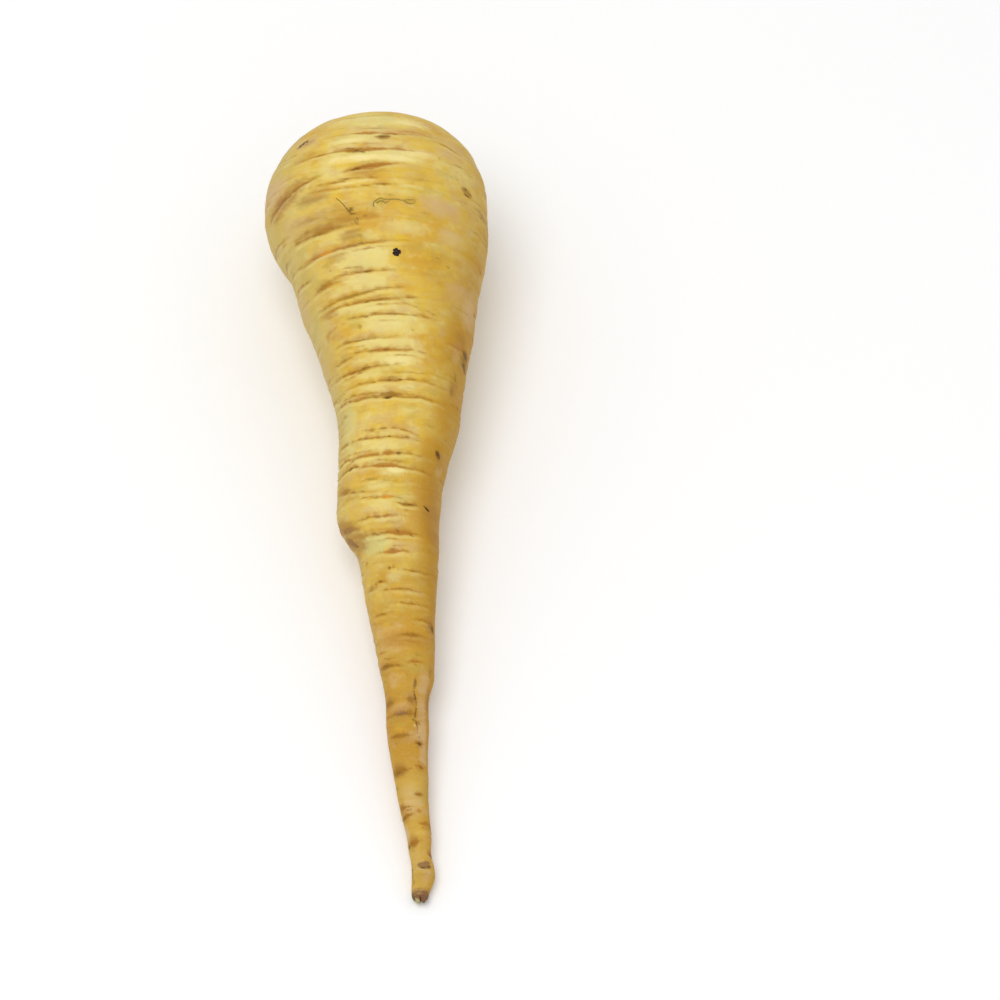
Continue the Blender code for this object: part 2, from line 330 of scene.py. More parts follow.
# The creases that ring the root: down, middle turn, half span, depth, width, slope in mm down
# for ten degrees to the right, how stained, and how rusty from 0 olive to 1 orange-brown.
ringCreases = (
    (-23.8, -14, 18, 0.3, 0.5, -0.5, 0.45, 0.6), (-18, -3, 9, 0.15, 0.4, 0, 0.35, 0.3),
    (-16.3, 5, 33, 0.55, 0.6, -0.3, 0.5, 0.9), (-9.9, -8, 30, 0.55, 0.6, -0.15, 0.75, 0.8),
    (-12.2, 28, 12, 0.2, 0.4, 0, 0.3, 0.9), (-4, -1, 15, 0.5, 0.7, -0.9, 0.7, 0.9),
    (-5, 22, 22, 0.25, 0.5, -0.1, 0.3, 0.7), (-15, 44, 9, 0.25, 0.4, 0.6, 0.55, 0.1),
    (0.1, -15, 16, 0.35, 0.5, -0.25, 0.6, 0.4), (2.3, -20, 14, 0.35, 0.45, 0, 0.55, 0.9),
    (1.6, 3, 9, 0.3, 0.5, -0.3, 0.6, 0.4), (0.9, 20, 15, 0.15, 0.4, 0.1, 0.3, 0.9),
    (0.3, -50, 20, 1, 1.3, -1.5, 0.8, 0.4), (3.4, 28, 30, 0.15, 0.5, 0, 0.15, 0.6),
    (9.6, -35, 12, 0.2, 0.4, -0.3, 0.45, 0.2), (11.4, -12, 14, 0.35, 0.6, -0.4, 0.4, 0.8),
    (13.4, -40, 21, 0.7, 1.2, -0.2, 0.7, 0.3), (17, 24, 22, 0.15, 0.45, 0.1, 0.15, 0.7),
    (18.6, -26, 31, 0.6, 0.6, -0.33, 0.8, 0.6), (22.6, 26, 26, 0.15, 0.45, 0.1, 0.15, 0.7),
    (26.2, -14, 17, 0.55, 0.55, -0.1, 0.8, 0.6), (28.2, -43, 13, 0.45, 0.6, -0.3, 0.6, 0.8),
    (32.5, -24, 27, 0.5, 0.6, -0.45, 0.85, 0.25), (30.2, 34, 26, 0.15, 0.45, 0, 0.15, 0.8),
    (34.4, -12, 27, 0.6, 0.55, -0.25, 0.85, 0.6), (36.4, 20, 14, 0.2, 0.4, 0.9, 0.45, 0.4),
    (38.6, -2, 27, 0.5, 0.55, 0, 0.7, 0.5), (39.9, -44, 14, 0.3, 0.5, -0.7, 0.45, 0.5),
    (45.2, -24, 23, 0.5, 0.5, 0, 0.75, 0.3), (48.6, -4, 25, 0.5, 0.55, 0.05, 0.8, 0.7),
    (49.6, -46, 9, 0.3, 0.5, -0.5, 0.6, 0.4), (51, 30, 24, 0.15, 0.45, 0, 0.15, 0.8),
    (53.3, -30, 28, 0.55, 0.55, -0.2, 0.85, 0.5), (56.4, -4, 9, 0.25, 0.4, 0, 0.5, 0.2),
    (57.2, -8, 37, 0.5, 0.5, -0.05, 0.75, 0.5), (61.6, -14, 48, 0.8, 0.65, 0.1, 0.9, 0.5),
    (64.6, -60, 8, 0.2, 0.5, 0, 0.45, 0.5), (66, 10, 34, 0.12, 0.45, 0, 0.12, 0.7),
    (70.9, -15, 17, 0.35, 0.42, 0.1, 0.6, 0.6), (71.7, 11, 13, 0.35, 0.42, 0.8, 0.6, 0.5),
    (73.4, -60, 10, 0.4, 0.5, -0.1, 0.7, 0.2), (73.5, -14, 34, 0.5, 0.6, 0.15, 0.7, 0.5),
    (78.5, -26, 50, 0.55, 0.55, 0, 0.8, 0.7), (81.5, -56, 16, 0.5, 0.55, -0.4, 0.85, 0.2),
    (82.1, 0, 40, 0.6, 0.6, 0.15, 0.85, 0.7), (86, -18, 13, 0.25, 0.42, 0, 0.5, 0.2),
    (88.6, -44, 25, 0.45, 0.65, 0.45, 0.6, 0.4), (91.4, -6, 25, 0.4, 0.5, 0.05, 0.65, 0.6),
    (93.3, 23, 11, 0.4, 0.5, 0.1, 0.8, 0.2), (97, -12, 26, 0.5, 0.6, -0.1, 0.7, 0.5),
    (98.8, -58, 22, 0.6, 1, 0.3, 0.5, 0.4), (101.6, -6, 35, 0.65, 0.6, 0, 0.85, 0.6),
    (106.7, -8, 23, 0.5, 0.55, 0, 0.75, 0.7), (109.2, -36, 8, 0.2, 0.4, 0, 0.4, 0.5),
    (111.3, -8, 11, 0.35, 0.5, 0, 0.45, 0.6), (112, 30, 24, 0.45, 0.55, 0, 0.6, 0.6),
    (115.1, -32, 11, 0.4, 0.5, 0, 0.7, 0.5), (116.4, -50, 13, 0.4, 0.6, 0, 0.6, 0.4),
    (117.6, 4, 34, 0.45, 0.55, 0.05, 0.6, 0.5), (121.5, 22, 38, 0.45, 0.55, 0, 0.55, 0.6),
    (124.2, -40, 26, 0.4, 0.55, 0, 0.55, 0.5), (126, 40, 22, 0.45, 0.6, 0, 0.65, 0.5),
    (130.8, 14, 26, 0.4, 0.6, 0, 0.65, 0.3), (133.7, -8, 24, 0.25, 0.6, 0, 0.35, 0.9),
    (135, -56, 18, 0.25, 0.5, 0, 0.45, 0.8), (138.3, 17, 15, 0.35, 0.5, 0, 0.75, 0.8),
    (139.2, -45, 33, 0.45, 0.55, 0.05, 0.8, 0.3), (142.6, 0, 30, 0.12, 0.5, 0, 0.15, 0.7),
    (149.6, -58, 24, 0.45, 0.8, 0, 0.6, 0.5), (149, 12, 16, 0.35, 0.7, 0, 0.55, 0.5),
    (153.4, -26, 54, 0.45, 0.65, -0.05, 0.7, 0.6), (159.5, -26, 35, 0.4, 0.5, 0, 0.7, 0.3),
    (161.5, 33, 15, 0.4, 0.6, 0, 0.8, 0.4), (165, -10, 44, 0.15, 0.5, 0, 0.15, 0.7),
    (168.1, 33, 17, 0.4, 0.55, 0, 0.7, 0.7), (169.4, -40, 37, 0.5, 0.8, -0.1, 0.8, 0.4),
    (173.8, -72, 15, 0.3, 0.5, 0, 0.5, 0.4), (176.1, 22, 21, 0.35, 0.5, 0, 0.65, 0.6),
    (179.7, -44, 40, 0.4, 0.5, 0, 0.6, 0.4), (180.8, 15, 15, 0.35, 0.5, 0, 0.55, 0.6),
    (182.3, -42, 35, 0.5, 0.6, -0.2, 0.8, 0.4), (184.3, 36, 29, 0.4, 0.55, 0, 0.7, 0.7),
    (189.9, -32, 41, 0.5, 0.7, -0.15, 0.75, 0.6), (192.8, 58, 21, 0.45, 0.7, 0, 0.8, 0.8),
    (197.2, 8, 44, 0.45, 0.5, 0, 0.4, 0.6), (197.4, -66, 17, 0.3, 0.6, 0, 0.6, 0.4),
    (200.8, -44, 13, 0.3, 0.6, 0, 0.4, 0.6),
)

# Many shorter and fainter ones between them, all round the root. A pair is the least and the most.
wrinkles = {
    "seed": 23,
    "count": 330,
    "from": -27.0,
    "to": 201.0,
    "crowding": 1.15,  # above 1 there are more of them towards the crown
    "doubleAt": 160,  # mm down where they are twice as long
    "turn": (-180, 180),
    "span": (7, 30),
    "depth": (0.04, 0.22),
    "width": (0.3, 0.6),
    "slope": (-0.35, 0.35),
    "stain": (0.0, 0.55),
    "stainPower": 1.3,
}
# A fainter one lies beside each listed one. These are its shares of that one's sizes.
companion = {
    "off": (1.1, 2.2),
    "shift": (-0.5, 0.5),
    "span": 0.7,
    "depth": 0.35,
    "width": 0.8,
    "stain": 0.65,
}
# Deeper ones on the side that the table hides.
farSide = {
    "density": 7,  # to the centimetre
    "turn": (108, 252),
    "span": (16, 44),
    "depth": (0.3, 0.75),
    "stain": (0.35, 0.8),
    "width": (0.45, 0.75),
}
# Shallow ones on the two flanks.
flanks = {
    "density": 8,
    "turn": (62, 108),
    "span": (14, 36),
    "depth": (0.06, 0.16),
    "stain": (0.25, 0.65),
    "slope": (-0.2, 0.2),
    "width": 0.45,
}
# Fine ones round the crown's hollow.
crownRing = {
    "count": 26,
    "down": (-31.0, -27.5),
    "turn": (-180, 180),
    "span": (12, 45),
    "depth": (0.06, 0.2),
    "stain": (0.15, 0.5),
    "width": (0.16, 0.28),
}
creaseShape = {
    "longer": 1.5,
    "pressed": 0.52,  # share of the listed depth that the washed skin keeps
    "crownSide": 1.9,  # the slope down from the crown's side is long, the step up is short
    "tailSide": 0.75,
    "fullWidth": 0.6,  # share of the width that stays where the root is thin
    "lip": 0.40,
    "lipOff": 2.0,  # widths
    "wander": 0.45,
    "broadTurns": 16,  # degrees to a wave of the centre line
    "tightTurns": 5,
    "tightShare": 0.4,
    "reach": 2.4,
    "margin": 2.0,
    "lineBase": 0.22,  # mm, half width of the stained line
    "lineMore": 0.20,
    # the shade band is painted shade over the slope above a crease
    "bandBase": 0.35,
    "bandMore": 1.5,
    "bandBelow": 0.3,
    # the ledge highlight is a painted highlight on the step below a crease
    "ledgeOff": 1.05,
    "ledgeSize": 0.45,
    "taper": 0.7,
    "fade": 0.65,  # the stain thins out towards the ends sooner than the groove
    "frayTurns": 6,
    "frayed": 0.45,
    "depthRange": (0.15, 1.2),
    "broken": 0.55,
    "unbroken": 1.25,
    "stainRange": (0.1, 1.2),
    "bandFrom": (0.15, 0.7),  # stain at which it starts to show, and over how much more it grows full
    "stainFrom": (0.03, 0.75),
}


def eased(share):
    share = np.clip(share, 0, 1)
    return share * share * (3 - 2 * share)


def risen(value, start, length):  # eased from 0 at start to 1 a length beyond
    return eased((value - start) / length)


def grown(value, start, length):  # the same in a straight line
    return np.clip((value - start) / length, 0, 1)


def bell(off, width):
    return np.exp(-((off / width) ** 2))


def allCreases():
    chance = random.Random(wrinkles["seed"])
    found = [(*c[:2], c[2] * creaseShape["longer"], *c[3:]) for c in ringCreases]
    low, high = wrinkles["from"], wrinkles["to"]

    def drawn(ranges, names):  # one draw for each name, in that order
        return [chance.uniform(*ranges[name]) for name in names.split()]

    for _ in range(wrinkles["count"]):
        place = low + (high - low) * chance.random() ** wrinkles["crowding"]
        turn, span, depth, width, slope, stain = drawn(wrinkles, "turn span depth width slope stain")
        span *= 1 + max(0.0, place) / wrinkles["doubleAt"]
        stain **= wrinkles["stainPower"]
        found.append((place, turn, span, depth, width, slope, stain, chance.random()))
    for place, turn, span, depth, width, slope, stain, rust in ringCreases:
        place += chance.choice((-1, 1)) * chance.uniform(*companion["off"])
        turn += chance.uniform(*companion["shift"]) * span
        span, depth = span * companion["span"], depth * companion["depth"]
        width, stain = width * companion["width"], stain * companion["stain"]
        found.append((place, turn, span, depth, width, slope, stain, rust))
    place = low
    while place < high:
        turn, span, depth, stain = drawn(farSide, "turn span depth stain")
        rust, width = chance.random(), chance.uniform(*farSide["width"])
        found.append((place, turn, span, depth, width, 0.0, stain, rust))
        place += 10 / farSide["density"]
    place = low
    while place < high:
        side = chance.choice((-1, 1))
        turn, span, depth, stain = drawn(flanks, "turn span depth stain")
        rust, slope = chance.random(), chance.uniform(*flanks["slope"])
        found.append((place, side * turn, span, depth, flanks["width"], slope, stain, rust))
        place += 10 / flanks["density"]
    for _ in range(crownRing["count"]):
        place, turn, span, depth, stain, width = drawn(crownRing, "down turn span depth stain width")
        found.append((place, turn, span, depth, width, 0.0, stain, chance.random()))
    return found


def carveCreases():
    # Each crease is a narrow groove between two low lips, with a centre line that wanders.
    # It is stained along its bottom, with painted shade over the slope above and a painted highlight on the
    # step below.
    names = ("push", "line", "shadeBand", "ledgeHighlight", "rust", "strongest")
    found = {name: np.zeros(skin.shape[:2]) for name in names}
    rowDown = down.mean(axis=1)
    shape = creaseShape
    for index, crease in enumerate(allCreases()):
        place, middle, halfSpan, depth, width, slope, stain, rust = crease
        offTurn = (turns - middle + 180) % 360 - 180
        columns = np.flatnonzero(np.abs(offTurn) < halfSpan)
        rows = np.flatnonzero(np.abs(rowDown - place) < shape["reach"] + shape["margin"])
        rows = rows[rows >= firstBody]
        if len(rows) == 0 or len(columns) == 0:
            continue
        around = offTurn[columns]
        inside = 1 - (around / halfSpan) ** 2
        wander, fray = [], []
        for turn in around:
            broad = wave(turn / shape["broadTurns"], index * 3.7, 0)
            tight = wave(turn / shape["tightTurns"], index * 3.7, 5)
            wander.append(shape["wander"] * (broad + shape["tightShare"] * tight))
            fray.append(0.5 + wave(turn / shape["frayTurns"], 9, index))
        wander, fray = np.array(wander), np.array(fray)
        block = np.ix_(rows, columns)
        off = down[block] - place - slope * around / 10 - wander
        size = width * (shape["fullWidth"] + (1 - shape["fullWidth"]) * thin[block])
        strength = inside ** shape["taper"] * np.clip(1 - shape["frayed"] * fray, *shape["depthRange"])
        groove = bell(off, size * np.where(off < 0, shape["crownSide"], shape["tailSide"]))
        lip = shape["lip"] * bell(off - shape["lipOff"] * size, size)
        found["push"][block] += shape["pressed"] * depth * thin[block] * strength * (lip - groove)
        whole = np.clip(shape["unbroken"] - shape["broken"] * fray, *shape["stainRange"])
        shown = stain * inside ** shape["fade"] * whole
        above = np.where(off < 0, shape["bandBase"] + shape["bandMore"] * shown ** 2, shape["bandBelow"])
        profiles = {
            "line": bell(off, shape["lineBase"] + shape["lineMore"] * shown),
            "shadeBand": bell(off, above) * risen(shown, *shape["bandFrom"]),
            "ledgeHighlight": bell(off - shape["ledgeOff"], shape["ledgeSize"]),
        }
        for name, profile in profiles.items():
            amount = profile * risen(shown, *shape["stainFrom"])
            found[name][block] = np.maximum(found[name][block], amount)
        weight = shown * np.clip(1 - np.abs(off) / shape["reach"], 0, 1)
        wins = weight > found["strongest"][block]
        found["rust"][block] = np.where(wins, rust, found["rust"][block])
        found["strongest"][block] = np.maximum(found["strongest"][block], weight)
    return found


creases = carveCreases()
print("creases pressed:", len(allCreases()))

# Marks on the skin by kind: down, turn, half length in degrees, half width in mm, strength, and
# where it isn't 0 the slope in mm down for ten degrees to the right. Stains are lenses, washes
# are soft clouds.
stains = {
    "darkMark": (
        (-16.2, -44, 4.8, 0.8, 1.6, -2.6), (-14.3, 3.8, 2.6, 0.7, 1, 0.4),
        (-14.4, 7.6, 2.4, 0.5, 0.8, -1.2), (-15.7, 10.5, 2.2, 0.45, 0.7, -0.3),
        (-9.2, -9, 3.4, 0.5, 1, -0.2), (-8.6, -6, 2.2, 0.5, 0.8, 0.6), (-10.4, -13, 3.6, 0.4, 0.9, 0.5),
        (-3.1, -8.5, 3.6, 0.6, 0.9, -0.9), (0, -14.5, 3.6, 0.55, 1, -0.3), (0.1, -8.5, 2.6, 0.3, 0.5),
        (1.9, 5.5, 2, 0.7, 0.5, 1), (-14.6, 46.5, 3, 0.4, 0.8, 0.7), (-15.4, 42, 3.5, 0.35, 0.6, 0.7),
        (-2.9, 54, 2, 0.7, 0.7, 0.8), (-1.1, 55, 3.2, 0.5, 0.9, -0.6), (-2, 58, 1.4, 0.8, 0.6, 0.8),
        (10.2, -29.5, 1.4, 0.45, 0.7), (9.2, -15, 3, 0.8, 0.6, -1.5), (10.3, -13.5, 3, 0.35, 0.7, 0.3),
        (12.6, -13.5, 1.2, 1.2, 0.6), (11, -7.5, 2.4, 0.45, 0.5, -0.8), (11.8, 6.5, 1.5, 0.45, 0.5),
        (13.8, -39.5, 6, 0.6, 0.35, -0.2), (18, -14, 2.4, 0.5, 0.8, -0.3), (22.6, 41, 1.2, 0.5, 0.8),
        (20.9, 33, 2.2, 0.45, 0.5, 0.3), (21.3, -18, 1, 0.35, 0.5), (25.7, -26, 2, 0.4, 0.6),
        (26.4, -11, 4, 0.5, 0.7, 0.2), (28.4, -52, 1.6, 0.45, 0.7), (34.8, -15, 4, 0.4, 0.7),
        (37.4, 31, 1.6, 0.4, 0.6), (37.6, 24, 2.6, 0.45, 0.5), (39, -17.5, 2.8, 0.5, 0.8, -0.4),
        (38.2, -10.5, 2.4, 0.45, 0.6), (48.6, -6, 4, 0.45, 0.6), (53.6, -40, 4, 0.4, 0.6, -0.2),
        (53, -25, 6, 0.5, 0.8, -0.2), (57.2, -5.5, 2.6, 0.45, 0.9), (57.1, 3.5, 2.2, 0.5, 0.8),
        (62.1, -9, 6, 0.55, 1.3), (73.6, -47, 2, 0.8, 0.7), (73.4, -4.5, 1.9, 0.5, 0.7),
        (76.4, 55, 6.2, 1.5, 1.1, 1.2), (78.5, 7.5, 3.6, 0.7, 0.8), (78.2, -58, 3, 0.5, 0.7, -0.4),
        (81.4, -48, 3.6, 0.75, 1.3, -0.3), (82, -6, 9, 0.4, 0.5), (93.4, 26, 5, 0.55, 0.8, 0.3),
        (95.2, 0.5, 1.4, 0.35, 0.6), (96.7, 3, 4, 0.3, 0.6), (101, 5.5, 3.6, 0.8, 0.5),
        (100.3, 9, 1.6, 0.5, 0.6, -1), (102.2, 22, 4, 0.45, 0.7, 0.4), (102.9, -65, 4.4, 0.9, 0.7, 1.5),
        (99, -70, 9, 0.3, 0.5, 0.3), (106.3, -8, 4, 0.55, 0.4), (111.4, -14, 3, 0.8, 0.9, -0.6),
        (115, -31, 4.4, 0.5, 0.7), (44.6, 72, 8, 1.5, 1.2, 0.8), (48, 76, 9, 1.4, 1.3, 0.8),
        (-3.6, -5, 7, 0.6, 0.4, -0.9), (139.1, -48, 12, 0.75, 0.35), (52.8, 61, 2.4, 1.3, 0.6, 1.5),
        (31, 78, 4, 1, 0.8), (17.6, 78, 3, 0.9, 0.6, 0.8), (142.7, -30, 3, 0.35, 0.5),
        (142.3, -1, 3, 0.35, 0.4), (127.6, 64, 8, 1.7, 0.8, 0.4), (149.8, -60, 13, 0.6, 0.3),
        (155, 16, 5, 0.5, 0.7, 0.4), (155.7, 30, 8, 0.5, 0.6, 0.6), (161.6, 33, 8, 0.6, 0.9, 0.2),
        (168.2, 36, 8, 0.5, 0.6, 0.2), (169.8, -48, 18, 0.7, 0.35, -0.1), (182.6, -60, 14, 0.7, 0.5, -0.2),
        (190.7, -62, 15, 0.8, 0.6), (188.8, -14, 12, 0.6, 0.3), (193, 62, 12, 0.8, 0.7),
        (196.7, 30, 12, 0.55, 0.6), (196.9, 0, 26, 0.35, 0.6), (197.4, -70, 12, 1, 0.6),
    ),
    "blackMark": (
        (93.4, 47.5, 6.5, 0.52, 1.6, 1), (62.2, -9, 3, 0.4, 0.8), (76.4, 55, 2.4, 0.8, 0.6, 1.2),
        (-16.1, -43.5, 3.6, 0.5, 1.4, -2.6),
    ),
    "rustMark": (
        (-16, -4, 9, 0.9, 1.2, -0.2), (-17.4, 20, 12, 0.8, 0.6, -0.2), (-15.8, 8, 8, 0.9, 0.9, -0.3),
        (-9.5, 0, 9, 0.8, 1.2, -0.6), (-9.9, -12, 8, 0.9, 0.5, -0.3), (-3.7, -2, 11, 1.3, 1.5, -0.95),
        (-0.7, -1, 6, 0.7, 0.5, -0.3), (2.4, -18, 9, 0.45, 0.5), (1.9, -4, 4, 0.6, 0.5),
        (4.8, 1.5, 2.2, 0.7, 0.6), (2.4, -61, 5, 0.9, 0.8, -2.5), (12.6, -31, 7, 1, 0.6, -0.5),
        (19.3, -43.5, 4, 0.5, 0.8, -0.2), (18.9, -52, 6, 0.4, 0.5), (26.6, -22, 3.6, 0.5, 0.8, -0.3),
        (34.8, -17, 5, 0.5, 0.6), (38.3, -11, 4.4, 0.7, 0.8), (41.8, -55, 1.8, 1.9, 0.8),
        (48.5, -8, 9, 0.8, 1.2), (53.7, -41, 7, 0.7, 0.7, -0.2), (57.3, -31, 7, 0.5, 0.6),
        (57.1, -9, 5, 0.6, 0.6), (61.3, -36, 8, 0.5, 0.7), (62.6, 33, 2.6, 0.6, 0.5),
        (73.6, -46, 3, 1.1, 0.6), (73.5, -17, 3.6, 0.7, 0.8), (78.4, -3.5, 7, 1, 1.4),
        (78.5, -20, 8, 0.55, 0.7), (81.9, -6, 17, 0.95, 1.4, 0.05), (97, 0, 10, 0.8, 0.6, -0.2),
        (101.5, 5, 19, 0.95, 1.2), (106.6, -7, 16, 1, 1.2), (108.8, -54, 5, 0.8, 0.7),
        (110.8, -7, 4, 0.7, 0.7, -0.6), (111.9, -0.5, 2.4, 0.55, 0.7), (115, -32, 6, 0.8, 0.6),
        (16.8, 75, 3, 0.9, 0.6, 0.8), (134.9, -57, 20, 0.5, 0.6), (138.3, 17, 15, 0.7, 0.9),
        (153.6, -63, 17, 0.6, 0.9), (168.1, 28, 12, 0.7, 0.7), (180.8, 15, 13, 0.8, 0.7),
        (184.3, 36, 27, 0.8, 0.8), (189.3, -12, 22, 1.2, 0.35, -0.1), (192.8, 56, 18, 1.1, 0.9),
        (198.8, 8, 18, 0.6, 0.25),
    ),
    "orangeMark": (
        (18.9, -38, 7, 0.9, 1.2, -0.2), (28.2, -40, 4.6, 0.9, 0.5, -0.3), (91.4, 0, 9, 0.7, 1.5),
        (3.2, -30, 4, 1, 0.6, -0.4), (11.2, -6, 7, 1.6, 0.35, -0.4), (78.5, -24, 5, 0.5, 0.6),
        (106.7, -17, 7, 0.6, 0.6), (-7.8, -31, 4, 1.2, 0.5),
    ),
    "umberMark": (
        (-14.2, 4.5, 5.6, 1.4, 1.4, -0.3), (-9.3, -9, 8, 1.2, 1.2), (0.2, -16, 9, 0.8, 1, -0.3),
        (1.8, 4, 5, 0.9, 0.5, -0.3), (0.6, -50, 13, 1.2, 0.8, -1.4), (-2.2, 55, 4.6, 2, 1.2, 0.6),
        (13.2, -33, 12, 1.1, 0.6, -0.3), (18.7, -22, 9, 0.9, 0.6, -0.3), (26.2, -14, 10, 0.7, 0.6),
        (27.9, -44, 9, 1.1, 0.8, -0.3), (34.3, -8, 12, 0.7, 0.7, -0.2), (38.6, 4, 12, 0.5, 0.5),
        (41.4, -24, 2.2, 1.3, 0.8), (45.2, -26, 14, 0.5, 0.6), (42.9, 15, 3.2, 0.45, 0.5),
        (49.6, -45, 6, 0.8, 0.7, -0.4), (53.4, -33, 16, 0.7, 0.6, -0.2), (57, -3, 9, 0.9, 0.6),
        (61.2, -7, 14, 1.1, 1.2), (61.4, 15, 14, 0.45, 0.6, 0.1), (64.6, -60, 5, 1, 0.5),
        (48.4, 48, 2.4, 0.7, 0.6), (52.2, 60, 5, 2, 0.5, 1.5), (46.2, 73, 12, 3.2, 0.8, 0.4),
        (57, 58, 5, 2.4, 0.8), (73.6, 8, 12, 0.8, 0.5, 0.2), (73.3, -33, 9, 0.6, 0.5),
        (78.8, -68, 9, 0.9, 0.6), (76.4, 55, 6, 1.5, 1.4, 1.2), (81.9, -58, 11, 0.8, 0.7, -0.4),
        (87.6, -54, 14, 1.2, 0.8, 0.2), (89.6, -76, 8, 1.6, 0.6), (93.3, 23, 9.5, 0.8, 0.8, 0.1),
        (97.1, -18, 15, 0.5, 0.5), (101.6, -22, 12, 0.5, 0.4), (108.8, -54, 6, 1.2, 0.5),
        (116.2, -51, 9, 1.4, 0.7), (112, 24, 16, 0.7, 0.6), (117.5, 6, 16, 0.7, 0.6),
        (121.5, 18, 16, 0.7, 0.5), (124.2, -42, 16, 0.8, 0.6), (127.2, 60, 14, 2.2, 0.8, 0.4),
        (130.8, 14, 18, 0.9, 0.6), (139.1, -46, 20, 1.1, 1.1), (139.5, -22, 18, 0.4, 0.6),
        (140.5, 56, 9, 3, 0.4), (149.6, -58, 26, 1.3, 0.9), (149, 12, 14, 1.3, 0.7),
        (148.5, 68, 12, 3, 0.5), (152.8, 6, 12, 1.5, 0.6), (159.5, -24, 34, 0.8, 0.9),
        (161.5, 33, 12, 0.9, 0.7), (169.4, -42, 36, 1.6, 1, -0.1), (173.7, -72, 15, 0.8, 0.6),
        (176.1, 22, 18, 0.7, 0.8), (179.7, -60, 22, 1.1, 1), (179.6, -26, 24, 0.35, 0.5),
        (182.3, -46, 30, 0.9, 0.9, -0.2), (185, 64, 13, 1.1, 0.7), (189.9, -26, 30, 1.3, 0.9, -0.1),
        (200.8, -46, 10, 1.1, 0.6),
    ),
    "oliveMark": (
        (-18.4, 3.5, 4, 1.8, 0.5), (-17.9, -3, 7, 0.4, 0.6), (4.9, 7, 5, 0.7, 0.5), (7, 3, 5, 0.9, 0.7),
        (6.2, 18, 5, 0.9, 0.6), (6.3, 10, 7, 0.5, 0.5), (3, 24, 2, 0.6, 0.5), (8.9, -39, 5, 0.6, 0.6, -1.2),
        (-9.6, 36, 2.2, 0.6, 0.5), (9.2, -14.5, 4, 1.1, 0.5, -1), (22.8, -39, 5, 1.8, 0.5),
        (24.9, 7.5, 2.4, 0.35, 0.5), (25.3, 50, 2.6, 0.7, 0.5), (46.6, 74, 11, 2.6, 0.9, 0.4),
        (32.6, -26, 20, 0.6, 0.7, -0.45), (45.2, -22, 18, 0.45, 0.5), (48.8, -19, 5, 0.6, 0.7),
        (56.4, -4, 9, 0.55, 0.6), (61.4, -23, 8, 0.6, 0.6), (73.5, -58, 8, 0.5, 0.8, -0.2),
        (78.6, -44, 10, 0.45, 0.6), (86, -18, 11, 0.6, 0.7), (92, 16, 5, 0.6, 0.5, 0.3),
        (97.2, -27, 10, 0.5, 0.6), (102, -30, 10, 0.5, 0.5, -0.2), (136.2, 24, 9, 1.2, 0.4),
    ),
    # scars, and painted shade beside the ledge on the left at 98 to 102 mm down
    "plumScarAndShade": (
        (1.6, -57, 8, 1.6, 0.6, -1.5), (2, 69, 10, 2, 0.5, 0.8), (-15.6, -40, 7, 2, 0.5, -1),
        (45.8, 74, 8, 3.4, 0.2), (98.6, -64, 20, 1.6, 0.6, 0.3), (101.6, -72, 12, 2.4, 0.7, 0.6),
        (153, -16, 30, 1.3, 0.5), (144.5, 18, 5, 2.6, 0.5), (196.3, 8, 42, 1.1, 1.5, 0.05),
        (195.4, 26, 22, 0.8, 0.8, 0.1),
    ),
}
